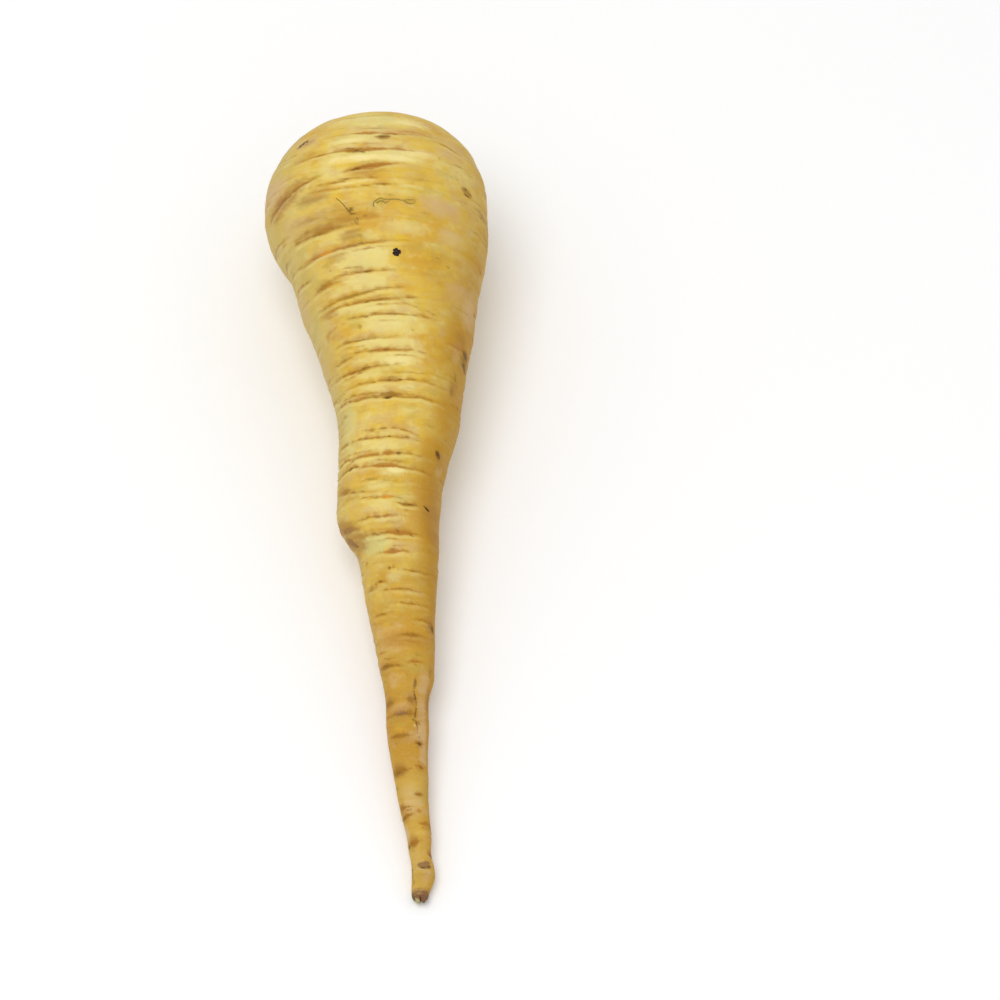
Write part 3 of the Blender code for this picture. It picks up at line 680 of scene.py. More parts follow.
washes = {
    # brown tone of the skin, and painted shade in folds, along the flanks and beside the ledge on the left
    "brownAndShadeWash": (
        (-10.5, -38, 10, 2, 0.4), (-2.2, -2, 12, 1.6, 0.5, -0.4), (3.5, -33, 12, 2.4, 0.7, -0.6),
        (15.8, -19, 8, 1.5, 0.8, -0.3), (21.2, -31, 9, 1.5, 0.6, -0.3), (34.6, 4, 14, 1.2, 0.5),
        (35.4, -48, 10, 2, 0.7), (74.8, -40, 9, 1.6, 0.3), (101, 10, 16, 2, 0.4), (98.4, 5, 13, 1.5, 0.4),
        (1, -53, 18, 3.4, 1, -1.5), (12.8, -36, 20, 1.6, 0.9, -0.4), (11.6, -20, 9, 1.2, 0.7, -0.3),
        (10.8, -8, 8, 1.6, 0.5), (27.6, -42, 12, 1.6, 0.6, -0.4), (19.2, -50, 12, 1.2, 0.5, -0.5),
        (41.2, -50, 7, 1.6, 0.3), (42.5, 60, 8, 4, 0.55), (-3.6, -4, 13, 1.5, 0.7, -0.9),
        (56, 60, 8, 3, 0.6), (87.8, -60, 16, 2, 0.6, 0.3), (100, -68, 26, 5, 1.2, 0.4),
        (100, -34, 18, 9, 0.25), (46, -40, 10, 4, 0.3), (10, -28, 26, 3.6, 0.5, -0.3),
        (104, -74, 10, 5, 0.6), (78, 60, 8, 3, 0.6), (98, 60, 20, 8, 0.7), (88, 62, 14, 8, 0.45),
        (90, -46, 16, 3, 0.5), (112, 10, 60, 5, 0.28), (127, 58, 16, 3, 0.6), (132, 0, 60, 2.4, 0.6),
        (139.4, -58, 18, 2, 0.6), (149.6, -55, 28, 2.2, 0.9), (149, 14, 16, 2.4, 0.8),
        (152.8, -10, 50, 2.4, 0.6), (148.5, 68, 14, 4, 0.6), (160, -24, 36, 1.6, 0.5),
        (161.8, 34, 15, 1.6, 0.6), (169, -42, 36, 2.6, 0.9, -0.1), (168, 34, 16, 1.6, 0.6),
        (176.2, 22, 20, 1.3, 0.5), (180, -56, 26, 1.8, 0.8), (182.6, -50, 26, 1.6, 0.7, -0.2),
        (184.8, 52, 24, 1.6, 0.6), (189.8, -36, 36, 2.2, 0.8, -0.1), (192.6, 58, 22, 2, 0.8),
        (199, -66, 16, 4, 0.7), (200, 6, 44, 2.4, 0.4),
    ),
    "scuff": (
        (14.4, 42, 10, 3, 0.4), (29, 52, 12, 4, 0.4), (-15.5, -41, 9, 2.6, 0.7, -1),
        (-3.6, -64, 17, 4.5, 1), (-14, 44, 13, 6, 0.5), (6, 37, 14, 3.6, 0.8, 0.3), (32, 68, 12, 6.5, 0.7),
        (46, 58, 6, 3.5, 0.5), (2.4, -50, 10, 2.2, 0.4, -1), (-17.2, 12, 28, 1.5, 0.6),
        (-10.6, 0, 26, 1.2, 0.5), (-4.6, 10, 20, 1, 0.4), (10, -48, 14, 3, 0.5, -0.4), (37.1, 9, 6, 1, 0.6),
        (18.8, -22, 9, 1, 0.5, -0.3), (30, -76, 12, 7, 0.6), (50, -80, 12, 9, 0.5), (81, 64, 8, 2, 0.5),
        (145.5, 42, 17, 6, 0.6), (152, 42, 17, 5, 0.7), (158, 42, 19, 4.4, 0.9), (164, 48, 18, 3.6, 0.8),
        (151.4, -16, 34, 2, 0.6), (187, -62, 17, 2.8, 0.9), (200, 16, 22, 2.2, 0.6), (178, -6, 50, 5, 0.45),
    ),
    # painted highlights where light catches the dome and the steps below creases
    "highlightMark": (
        (-21.5, 22, 12, 1.4, 0.6), (-9.5, 24, 12, 1.6, 0.6), (1.2, 19, 9, 1.2, 0.5),
        (-6.5, -9, 13, 1.3, 1, -0.3), (-7, 12, 14, 1.2, 0.6, -0.1), (-13, -14, 9, 0.9, 0.6),
        (0.9, -8, 12, 0.5, 0.5, -0.4), (51.6, 4, 13, 1.6, 0.5), (83.4, 6, 9, 1, 1, 0.1),
        (156.6, 20, 6, 0.5, 0.6),
    ),
    # cream patches where the skin is scrubbed thin, and one painted pool of light
    "creamAndLightMark": (
        (14.4, 42, 9, 2.2, 0.5), (18, 33, 9, 1.7, 0.5), (16.6, -7, 7, 1.4, 0.6), (59.4, 8, 9, 1, 0.8),
        (47.2, 8, 10, 1.7, 1.2), (30.6, -33, 11, 1.6, 0.8, -0.4), (51.6, -30, 10, 1.3, 0.7, -0.2),
        (66.5, 6, 9, 1.8, 0.5), (114, -8, 12, 1.6, 0.7), (-13.2, -10, 16, 1.6, 0.6),
        (-7.2, 0, 26, 1.9, 1, -0.1), (3.8, 14, 12, 1.2, 0.5), (8, -44, 16, 4.4, 0.35),
        (48.5, 18, 9, 3, 0.7), (15.8, -28, 13, 1.6, 0.6), (13.6, 14, 14, 2.2, 0.7),
        (22.4, -14, 17, 3.2, 1.5, -0.1), (23, -52, 10, 4, 0.2), (29.2, -14, 15, 2.3, 1.3, -0.1),
        (30, -52, 10, 3, 0.2), (36.4, -18, 13, 1.5, 0.7), (36.6, -36, 9, 1.4, 0.5, -0.2),
        (41.6, -2, 20, 2.6, 0.9), (42, 22, 8, 1.8, 0.6), (46.8, -8, 20, 1.6, 0.9), (51.2, 0, 24, 2.2, 1),
        (55, -24, 12, 1.2, 0.7), (59.2, -22, 14, 1.3, 0.7), (68, -54, 12, 5, 0.9), (72.4, -6, 14, 0.8, 0.6),
        (76, -8, 20, 1.6, 0.8), (80.4, -30, 16, 1.2, 0.6), (83.8, 4, 16, 1.6, 0.9),
        (87.6, -12, 16, 1.6, 0.7), (94, -8, 18, 1.8, 0.8), (99, -8, 18, 1.3, 0.2), (104.2, -22, 18, 3, 0.6),
        # the first on the next line is painted light over the dome's top
        (-21.5, 2, 34, 3, 0.9), (178, 0, 52, 5, 0.3), (108.6, 8, 20, 1.6, 0.25), (112.6, -2, 14, 1.6, 0.6),
    ),
    "greenMark": (
        (4, -38, 14, 3.5, 0.45), (24.6, -14, 12, 1.4, 0.35), (104.4, -36, 26, 3, 1),
        (66, -56, 14, 4.6, 0.6), (-9, -54, 14, 4, 0.3),
    ),
    # ochre patches; those on the right flank from 76 to 99 mm down deepen its painted shade
    "ochreAndShadeMark": (
        (-21.5, -5, 12, 1.5, 0.6), (17, 64, 14, 4, 0.6), (38.5, 51, 10, 3.2, 0.7), (-1.6, -2, 14, 2.6, 0.6),
        (-2, 26, 16, 3.4, 0.6), (-16, 20, 16, 3, 0.5), (2, -26, 9, 2, 0.7), (11, -7, 14, 3.4, 0.8),
        (24, 22, 17, 5.4, 0.55), (31, 10, 10, 1.8, 0.6), (31, 40, 16, 6, 0.4), (41.6, -43, 14, 2.4, 0.7),
        (42.5, 58, 14, 4.6, 1), (38.6, 26, 10, 1.4, 0.7), (57, 24, 12, 1.6, 0.7), (64, 50, 16, 6, 0.8),
        (72, -32, 14, 2.6, 0.4), (76, 44, 15, 4, 0.9), (84, 44, 16, 4, 0.8), (90, 44, 20, 7, 1),
        (99, 38, 24, 6.5, 1.2), (131.5, 0, 50, 3.4, 0.8), (151.4, -20, 46, 2.4, 0.8),
    ),
    "yellowMark": (
        (-4.8, -15, 9, 2.2, 0.8, -0.3), (-4, 26, 8, 1.6, 0.6), (0, 35, 9, 1.6, 0.8), (15.5, 58, 11, 3, 0.7),
        (32, 24, 12, 2.5, 0.5), (-12.1, 29, 7, 0.7, 1), (-10.7, 15, 10, 0.4, 0.6), (0.8, 20, 13, 0.6, 0.9),
        (-2.4, 34, 4, 0.8, 0.9), (-3.6, 20, 12, 1, 0.5), (16.8, 10.5, 5, 0.8, 0.9),
        (32.1, -23.5, 3, 0.5, 0.8), (56.6, 19, 6, 1.1, 1), (57, -18, 5, 0.5, 0.6),
        (144.6, -22, 26, 3.4, 0.25), (157, -24, 26, 2, 0.35), (174, 10, 30, 2, 0.25),
        (186.6, 6, 26, 2.4, 0.4),
    ),
}
markShape = {
    "stainEdge": 0.28,  # how far noise moves a stain's edge, as a share of its size
    "washEdge": 0.30,
    "raggedTurns": 2.5,  # degrees and mm to a bay of the ragged edge
    "raggedDown": 0.9,
    "margin": 1.5,
    "tailFrom": 130,  # mm down beyond which stains grow heavier
    "tailStronger": 1.45,
    "stainTop": (1.25, 1.15),  # a stain's plateau and how softly it falls off
    "washTop": (1.45, 1.1),
    "washSquare": 2.5,  # 2 makes a wash an ellipse, more makes it squarer
    "stainReach": 1.1,
    "washReach": 1.6,
}
crackLook = {
    # down and turn along the lengthwise crack on the right of the tail
    "path": ((143.5, 20), (145.0, 22), (146.5, 18), (147.4, 21), (149.0, 25), (150.3, 26), (151.4, 26),
             (152.4, 24), (154.0, 21), (155.2, 23), (156.4, 26), (158.5, 28)),
    "width": 0.28,
    "whole": 0.75,  # how unbroken it is, then how much noise changes that
    "gaps": 1.2,
    "stain": 0.9,
}


def markField(rows, reachAt, shape):  # a mark's nearness, from 1 inside to 0 past its edge
    field = np.zeros(skin.shape[:2])
    rowDown = down.mean(axis=1)
    for index, (place, turn, halfTurn, halfDown, strength, *slope) in enumerate(rows):
        slope = sum(slope)
        if shape is lens and place > markShape["tailFrom"]:
            strength *= markShape["tailStronger"]
        offTurn = (turns - turn + 180) % 360 - 180
        columns = np.flatnonzero(np.abs(offTurn) < halfTurn * reachAt)
        extent = (halfDown + abs(slope) * halfTurn / 10) * reachAt + markShape["margin"]
        block = np.ix_(np.flatnonzero(np.abs(rowDown - place) < extent), columns)
        around = offTurn[columns] / halfTurn
        across = (down[block] - place - slope * offTurn[columns] / 10) / halfDown
        bays = turns[columns] / markShape["raggedTurns"]
        steps = down[block] / markShape["raggedDown"]
        ragged = [[wave(b, s, index * 7.1) for b, s in zip(bays, line)] for line in steps]
        ragged = np.array(ragged).reshape(across.shape)
        field[block] = np.maximum(field[block], shape(around, across, ragged) * strength)
    return np.minimum(field, 1.0)


def endFields():  # where the core, the slit and the green edge show on the torn end
    middle = skin[lastBody].mean(axis=0)
    side, up = (skin - middle) @ rightward / mm, (skin - middle) @ upward / mm
    onKnob = np.zeros(skin.shape[:2])
    onKnob[lastBody + 1 :] = 1.0
    onKnob = blurred(onKnob, 1.2, 0.5)
    onKnob = onKnob * risen(-up, -knob["coreTop"], knob["coreSoft"])
    slit = slitNear(side, up) * onKnob
    core = risen(side, knob["coreFrom"], knob["coreSoft"]) * risen(-side, -knob["slitAt"], knob["slitSoft"])
    green = risen(-side, -knob["coreFrom"] - knob["greenIn"], knob["greenSoft"])
    return {"endSlit": slit, "endCore": onKnob * core, "endGreen": onKnob * green}


def lens(around, across, ragged):  # a stain comes to a point at both ends, as a crease does
    plateau, soft = markShape["stainTop"]
    return eased((plateau - around * around - np.abs(across) + markShape["stainEdge"] * ragged) / soft)


def cloud(around, across, ragged):  # a wash is a soft patch
    plateau, soft = markShape["washTop"]
    power = markShape["washSquare"]
    distance = (np.abs(around) ** power + np.abs(across) ** power) ** (1 / power)
    return eased((plateau - distance + markShape["washEdge"] * ragged) / soft)


def paintMarks():
    painted = {kind: markField(rows, markShape["stainReach"], lens) for kind, rows in stains.items()}
    painted.update({kind: markField(rows, markShape["washReach"], cloud) for kind, rows in washes.items()})
    painted.update(endFields())
    return painted


def crackField():  # the lengthwise crack on the right of the tail, as nearness to its path
    field = np.zeros(skin.shape[:2])
    for (place, turn), (nextPlace, nextTurn) in zip(crackLook["path"], crackLook["path"][1:]):
        share = np.clip((down - place) / (nextPlace - place), 0, 1)
        offDown = down - (place + share * (nextPlace - place))
        offTurn = (turns[None, :] - (turn + share * (nextTurn - turn)) + 180) % 360 - 180
        distance = np.hypot(offDown, np.radians(offTurn) * radius)
        whole = crackLook["whole"] + crackLook["gaps"] * wave(place * 0.9, 3.0, 0.0)
        field = np.maximum(field, min(1.0, whole) * bell(distance, crackLook["width"]))
    return field


fields = paintMarks()
crack = crackField()
fields["darkMark"] = np.maximum(fields["darkMark"], crackLook["stain"] * crack)
print("marks placed:", sum(len(rows) for kinds in (stains, washes) for rows in kinds.values()))

relief = {
    "lumps": (13.0, 13.0, 0.30),  # size round, size down and height of each swelling
    "rings": (15.0, 4.2, 0.22),
    "grain": (2.6, 0.9, 0.05),
    "crackDepth": 0.45,
    "scarSwell": 0.25,
    "keepInside": 0.22,  # the whole skin is drawn in by this, to stay in the solid's box
}


def rootPlace():  # place in the root's own axes, in mm
    fromShoulder = (skin - shoulder) / mm
    return np.stack([fromShoulder @ rightward, fromShoulder @ upward, fromShoulder @ tailward], 2)


def noiseField(place, sizeRound, sizeDown, seed):
    scaled = place / np.array([sizeRound, sizeRound, sizeDown]) + seed
    flat = [wave(*p) for p in scaled.reshape(-1, 3)]
    return np.array(flat).reshape(place.shape[:2])


def raiseSkin():
    place = rootPlace()
    push = creases["push"].copy()
    for seed, kind in enumerate(("lumps", "rings", "grain")):
        sizeRound, sizeDown, height = relief[kind]
        push += height * thin * noiseField(place, sizeRound, sizeDown, 17.3 * seed)
    push -= relief["crackDepth"] * crack * thin
    push += relief["scarSwell"] * fields["plumScarAndShade"] * thin
    push -= relief["keepInside"] * thin
    push *= onSide
    moved = skin + outwardNormals() * push[:, :, None] * mm
    lowest = np.array([lowCorner.x, lowCorner.y, 0.0])
    return np.clip(moved, lowest, np.array(highCorner)), place


skin, place = raiseSkin()
down, radius = downAndRadius()
normals = outwardNormals()
print("skin relief raised")


def onSkin(atDown, atTurn, lift=0.0):  # a point over the finished skin, and the way out there
    rowDown = down[firstBody : lastBody + 1].mean(axis=1)
    row = firstBody + np.interp(atDown, rowDown, np.arange(len(rowDown)))
    column = np.interp((atTurn + 180) % 360 - 180, [*turns, 180], range(grid["columns"] + 1))
    i, j = min(int(row), lastBody - 1), int(column) % grid["columns"]
    a, b, after = row - i, column - int(column), (j + 1) % grid["columns"]
    weights = (
        (i, j, (1 - a) * (1 - b)), (i + 1, j, a * (1 - b)),
        (i, after, (1 - a) * b), (i + 1, after, a * b),
    )
    point = sum(skin[r, c] * w for r, c, w in weights)
    out = sum(normals[r, c] * w for r, c, w in weights)
    out = out / np.linalg.norm(out)
    return point + out * lift * mm, out


# Washed raw parsnip: thin corky peel over pale flesh. It gives a straw to ochre colour with
# soft gloss, cream where it was scrubbed thin and brown in the ring creases.
# Shade and highlights are also painted into the colour: on the two flanks, above and below the creases, in
# folds and on the dome.
peel = {
    "straw": "#dcbc58",
    # cream of scrubbed patches, also of painted highlights below the creases and over the dome's top
    "cream": "#e4d68c",
    # colour of the painted highlights
    "pale": "#f8e6a4",
    "ochre": "#cd9a30",
    "yellow": "#dfba34",
    "greenish": "#ccc47c",
    # greyer khaki of the painted shade along the left edge
    "shadeKhaki": "#b9a360",
    "olive": "#b3a04a",
    "tan": "#b98a30",
    # deep ochre of the painted shade on the right flank, also used for dark hairline streaks
    "shade": "#a97608",
    "oliveCrease": "#8a6a1e",
    "rustCrease": "#a66a22",
    "black": "#42180a",
    "dark": "#644008",
    # rust of the rust stains, and of the painted shade band above each crease
    "rust": "#b07628",
    "orange": "#d48e2c",
    "umber": "#966a1c",
    "oliveStain": "#988430",
    "plum": "#7c563e",
    "scuffed": "#ccab7a",
    "worn": "#d0b06a",
    "crown": "#7a6436",
    "tornEnd": "#76503a",
    "core": "#b4aa76",
    "green": "#4e5a24",
    # brown of the washes, partly painted shade
    "brown": "#a47634",
    "speck": "#7c5a28",
    # size round and size down in mm and the detail of each pattern, from broad patches to pores
    "patterns": {
        "patch": (21.0, 14.7, 4.0),
        "tinge": (9.5, 5.7, 4.0),
        "mottle": (4.2, 2.31, 5.0),
        "fleck": (3.2, 3.2, 3.0),
        "streak": (13.0, 2.0, 3.0),
        "hairline": (7.0, 0.6, 2.0),
        "pore": (0.9, 0.63, 2.0),
        "frayed": (1.5, 0.6, 2.0),
        "dash": (4.5, 1.6, 2.0),
    },
    "speckEvery": 9.0,  # mm between specks
    "speckSize": 0.38,
    # Layers over the straw, each over the ones before: name, edges, strength, colour, and where.
    # A pattern's edges are where it starts and where it is full. A mark has one number instead,
    # for how far noise moves its edge.
    "layers": (
        ("patch", (0.50, 0.64), 0.62, "ochre"), ("patch", (0.49, 0.34), 0.64, "cream"),
        ("tanShare", (0, 1), 0.93, "tan"), ("tinge", (0.53, 0.68), 0.38, "olive"),
        ("tinge", (0.46, 0.33), 0.46, "scuffed"), ("mottle", (0.52, 0.70), 0.38, "ochre"),
        ("mottle", (0.47, 0.30), 0.40, "cream", "body"), ("fleck", (0.52, 0.66), 0.46, "yellow", "body"),
        ("fleck", (0.46, 0.32), 0.44, "worn", "body"), ("streak", (0.54, 0.72), 0.20, "ochre", "body"),
        ("streak", (0.44, 0.28), 0.16, "cream", "body"), ("hairline", (0.58, 0.76), 0.17, "shade"),
        ("hairline", (0.42, 0.26), 0.13, "cream", "body"), ("pore", (0.52, 0.74), 0.20, "worn"),
        ("pore", (0.44, 0.26), 0.10, "umber"), ("ochreAndShadeMark", 1.0, 0.60, "ochre"),
        # cream patches and painted highlights; the cream includes a painted pool of light on the dome's top
        ("creamAndLightMark", 1.2, 0.62, "cream"), ("highlightMark", 0.8, 0.60, "pale"),
        ("yellowMark", 1.0, 0.50, "yellow"), ("greenMark", 1.0, 0.70, "greenish"),
        # painted shade: a greyer khaki along the left edge and a deep ochre over the right flank
        ("leftShade", (0, 1), 0.65, "shadeKhaki"), ("rightShade", (0, 1), 0.72, "shade"),
        # worn patches, then brown tone mixed with painted shade
        ("scuff", 1.0, 0.75, "scuffed"), ("brownAndShadeWash", 1.0, 0.72, "brown"),
        # a painted highlight on the step below each crease, kept off the shaded right flank, then painted
        # shade above it
        ("creaseHighlight", 0.6, 0.38, "cream", "lit", "body"), ("creaseShadeBand", 0.6, 0.54, "rust", "dashes"),
        ("creaseLine", 0.6, 0.72, "crease", "dashes"), ("plumScarAndShade", 0.9, 0.75, "plum"),
        ("oliveMark", 0.9, 0.65, "oliveStain"), ("umberMark", 0.9, 0.72, "umber"),
        ("orangeMark", 0.9, 0.70, "orange"), ("rustMark", 0.9, 0.76, "rust"),
        ("darkMark", 0.9, 0.80, "dark"), ("blackMark", 0.6, 0.95, "black"),
        ("speck", (1.0, 0.4), 0.60, "speck"), ("crownShare", 1.6, 0.85, "crown"),
        ("mottle", (0.42, 0.62), 0.60, "umber", "crown"), ("hairline", (0.50, 0.66), 0.60, "black", "crown"),
        ("endShare", 1.2, 0.95, "tornEnd"), ("endCore", 0.5, 0.95, "core"),
        ("endGreen", 0.5, 0.85, "green"), ("endSlit", 0.3, 0.97, "black"),
    ),
    "dashes": ((0.34, 0.56), 0.55),  # edges, and how much of a crease's stain shows between dashes
    # where a layer with that word shows: the share it follows, and that share's values for none and full
    # lit keeps the painted highlights off the painted shade of the right flank
    "masks": {"body": ("tailShare", 1.0, 0.2), "lit": ("rightShade", 1.0, 0.3)},
    "edgeMoves": (0.0, 0.3),  # a mark's nearness over which noise comes to move its edge
    "markShows": (0.04, 1.0),  # the nearness over which its colour comes in
    "heights": {"streak": 1.4, "hairline": 0.45, "pore": 0.25, "creaseLine": -0.3},
    "roughness": (0.48, 0.60),
    "roughEdges": (0.3, 0.7),  # of the streaks that it follows
    "specular": 0.20,
    "index": 1.36,
    "bump": (0.30, 0.5),
    "glow": 0.10,  # light that comes back from the flesh, its share by colour and its reach in mm
    "glowShares": (1.0, 0.6, 0.25),
    "glowReach": 2.0,
}


def peelMaterial():
    material, tree, shader = newMaterial("washedParsnipPeel")
    shares = ("creaseLine", "creaseShadeBand", "creaseHighlight", "creaseRust", "tanShare", "tailShare")
    source = {}
    for name in (*shares, "rightShade", "leftShade", "crownShare", "endShare", *fields):
        source[name] = addNode(tree, "Attribute", {"attribute_name": name}, {}).outputs["Fac"]
    place = addNode(tree, "Attribute", {"attribute_name": "rootPlace"}, {}).outputs["Vector"]
    for name, (sizeRound, sizeDown, detail) in peel["patterns"].items():
        source[name] = noiseNode(tree, place, (1 / sizeRound, 1 / sizeRound, 1 / sizeDown), detail)

    def ramp(value, low, high, top=1.0):  # from 0 at low to top at high, eased
        return addNode(
            tree, "MapRange", {"interpolation_type": "SMOOTHSTEP"},
            {"Value": value, "From Min": low, "From Max": high, "To Min": 0.0, "To Max": top},
        ).outputs[0]

    def calc(operation, first, second):
        return addNode(tree, "Math", {"operation": operation}, {0: first, 1: second}).outputs[0]

    scaled = addNode(tree, "VectorMath", {"operation": "SCALE"}, {0: place, "Scale": 1 / peel["speckEvery"]})
    cells = addNode(tree, "TexVoronoi", {}, {"Vector": scaled.outputs[0], "Scale": 1.0}).outputs["Distance"]
    source["speck"] = calc("MULTIPLY", cells, peel["speckEvery"] / peel["speckSize"])  # in speck sizes
    fray, drag = (calc("SUBTRACT", source[name], 0.5) for name in ("frayed", "streak"))
    dragged = ("creaseHighlight", "crownShare", *washes)  # noise drags their edges round the root
    dashEdges, between = peel["dashes"]
    where = {name: ramp(source[share], *edges) for name, (share, *edges) in peel["masks"].items()}
    where["crown"] = source["crownShare"]
    where["dashes"] = calc("ADD", ramp(source["dash"], *dashEdges, 1 - between), between)
    tones = {name: linear(value) for name, value in peel.items() if str(value).startswith("#")}
    tones["crease"] = blend(tree, source["creaseRust"], tones["oliveCrease"], tones["rustCrease"])
    colour = addNode(tree, "RGB", {}, {}).outputs[0]
    colour.default_value = tones["straw"]
    for name, edges, strength, tone, *masks in peel["layers"]:
        if isinstance(edges, tuple):
            amount = ramp(source[name], *edges, strength)
        else:
            wobble = calc("MULTIPLY", drag if name in dragged else fray, edges)
            wobble = calc("MULTIPLY", wobble, ramp(source[name], *peel["edgeMoves"]))
            amount = ramp(calc("ADD", source[name], wobble), *peel["markShows"], strength)
        for mask in masks:
            amount = calc("MULTIPLY", amount, where[mask])
        if name == "creaseLine":
            source[name] = amount
        colour = blend(tree, amount, colour, tones[tone])

    height = 0.0
    for name, share in peel["heights"].items():
        height = calc("ADD", height, calc("MULTIPLY", source[name], share))
    smooth, matte = peel["roughness"]
    coat(tree, shader, colour, smooth, height, peel["bump"])
    rough = calc("ADD", ramp(source["streak"], *peel["roughEdges"], matte - smooth), smooth)
    tree.links.new(rough, shader.inputs["Roughness"])
    shader.inputs["IOR"].default_value = peel["index"]
    shader.inputs["Specular IOR Level"].default_value = peel["specular"]
    shader.inputs["Subsurface Weight"].default_value = peel["glow"]
    shader.inputs["Subsurface Radius"].default_value = peel["glowShares"]
    shader.inputs["Subsurface Scale"].default_value = peel["glowReach"] * mm
    return material


def mapSkin(piece):  # unrolls the skin: round it across, and down it by length
    rows, columns = skin.shape[:2]
    steps = np.linalg.norm(np.diff(skin, axis=0), axis=2).mean(axis=1)
    length = np.concatenate([[0.0], np.cumsum(steps)])
    margin = 0.01  # keeps the two ends' fans clear of the sides
    height = margin + (1 - 2 * margin) * length / length[-1]
    corners = []
    for i in range(rows - 1):
        for j in range(columns):
            left, right = j / columns, (j + 1) / columns
            corners += [(left, height[i]), (left, height[i + 1]), (right, height[i + 1]), (right, height[i])]
    for j in range(columns):
        left, right, middle = j / columns, (j + 1) / columns, (j + 0.5) / columns
        corners += [(middle, 0.0), (left, height[0]), (right, height[0])]
        corners += [(middle, 1.0), (right, height[-1]), (left, height[-1])]
    layer = piece.data.uv_layers.new(name="OFBake")
    layer.data.foreach_set("uv", np.array(corners).reshape(-1))


# Where each broad tint starts and over what length it grows, in degrees round or mm down.
tints = {
    # painted shade over the right flank, which also deepens its ochre
    "right": (12, 55),
    # painted shade along the left edge, greyer and darker
    "left": (30, 45),
    "under": (-150, 50),  # counted backwards: none beyond 150 degrees, full within 100
    "belowDome": (-6, 42),  # the right side has half its tint where this starts
    # the right flank's painted shade is heavier over the waist and lighter on the tail
    "waist": ((72, 14), (-128, 14)),  # from 72 mm on, and gone again at 128
    "waistMore": 0.6,
    "tail": (70, 90),
    "tailLess": 0.45,
    "tip": (158, 14),
    "tipLess": 0.35,
    "end": (202.0, 2.2),
}


def buildSkin():
    rows, columns = skin.shape[:2]
    points = list(skin.reshape(-1, 3))
    crownMiddle = skin[0].mean(axis=0)
    endMiddle = skin[-1].mean(axis=0) + tailward * 0.1 * mm
    points += [crownMiddle, endMiddle]
    first, last = rows * columns, rows * columns + 1
    faces = ringFaces(rows, columns)
    for j in range(columns):
        after = (j + 1) % columns
        faces.append((first, j, after))
        faces.append((last, (rows - 1) * columns + after, (rows - 1) * columns + j))
    piece = makePiece("parsnipSkin", points, faces, peelMaterial())
    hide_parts("parsnip_root")
    mapSkin(piece)
    shown = grown(-np.abs(turns), *tints["under"])
    waist = grown(down, *tints["waist"][0]) * grown(-down, *tints["waist"][1])
    tail = grown(down, *tints["tail"])
    # painted shade over the right flank, half as strong on the dome
    rightShade = grown(turns, *tints["right"]) * shown * (0.5 + 0.5 * grown(down, *tints["belowDome"]))
    inCrown = np.zeros_like(down)
    inCrown[:firstBody] = 1.0
    values = {
        "creaseLine": creases["line"],
        "creaseShadeBand": creases["shadeBand"],
        "creaseHighlight": creases["ledgeHighlight"],
        "creaseRust": creases["rust"],
        "tailShare": tail,
        "tanShare": tail * (1 - tints["tipLess"] * grown(down, *tints["tip"])),
        "rightShade": rightShade * (1 - tints["tailLess"] * tail) * (1 + tints["waistMore"] * waist),
        # painted shade along the left edge, none on the tail
        "leftShade": grown(-turns, *tints["left"]) * shown * (1 - tail),
        "crownShare": blurred(inCrown, 4.0, 0.5),
        "endShare": grown(down, *tints["end"]),
        **fields,
    }
    for name, field in values.items():
        flat = np.concatenate([field.reshape(-1), [field[0].mean(), field[-1].mean()]])
        piece.data.attributes.new(name, "FLOAT", "POINT").data.foreach_set("value", flat)
    middles = np.array([place[0].mean(axis=0), place[-1].mean(axis=0)])
    flat = np.concatenate([place.reshape(-1, 3), middles]).reshape(-1)
    piece.data.attributes.new("rootPlace", "FLOAT_VECTOR", "POINT").data.foreach_set("vector", flat)
    return piece


buildSkin()
print("skin built")


# Leaf stalks cut short, dried in the crown's hollow. Dull brown with paler fibres along them.
stalks = {
    "count": 9,
    "turn": 137.5,  # degrees from one to the next
    "outer": 7.8,  # mm from the middle, and how much nearer each next one is
    "inward": 0.75,
    "inner": 1.9,  # none nearer than this
    "thickness": 1.3,
    "halfSpan": 44,
    "thinEnds": 0.75,
    "underRim": (0.8, 2.6),  # how far the cut lies below the rim
    "sink": 2.0,
    "lean": 0.12,
    "wobble": 0.25,
    "wobbleScale": (4, 0.7),  # along a stub, and up it by steps
    "ragged": 0.7,
    "raggedScale": 5,
    "steps": (14, 6),  # across and up
    "seed": 5,
    "pale": "#a98a4e",
    "brown": "#5a4122",
    # fibres that run up each stalk
    "look": {"grain": 0.7, "stretch": (1, 0.2, 1), "detail": 3.0, "edges": (0.35, 0.68), "roughness": 0.8,
             "bump": (0.5, 0.3)},
}


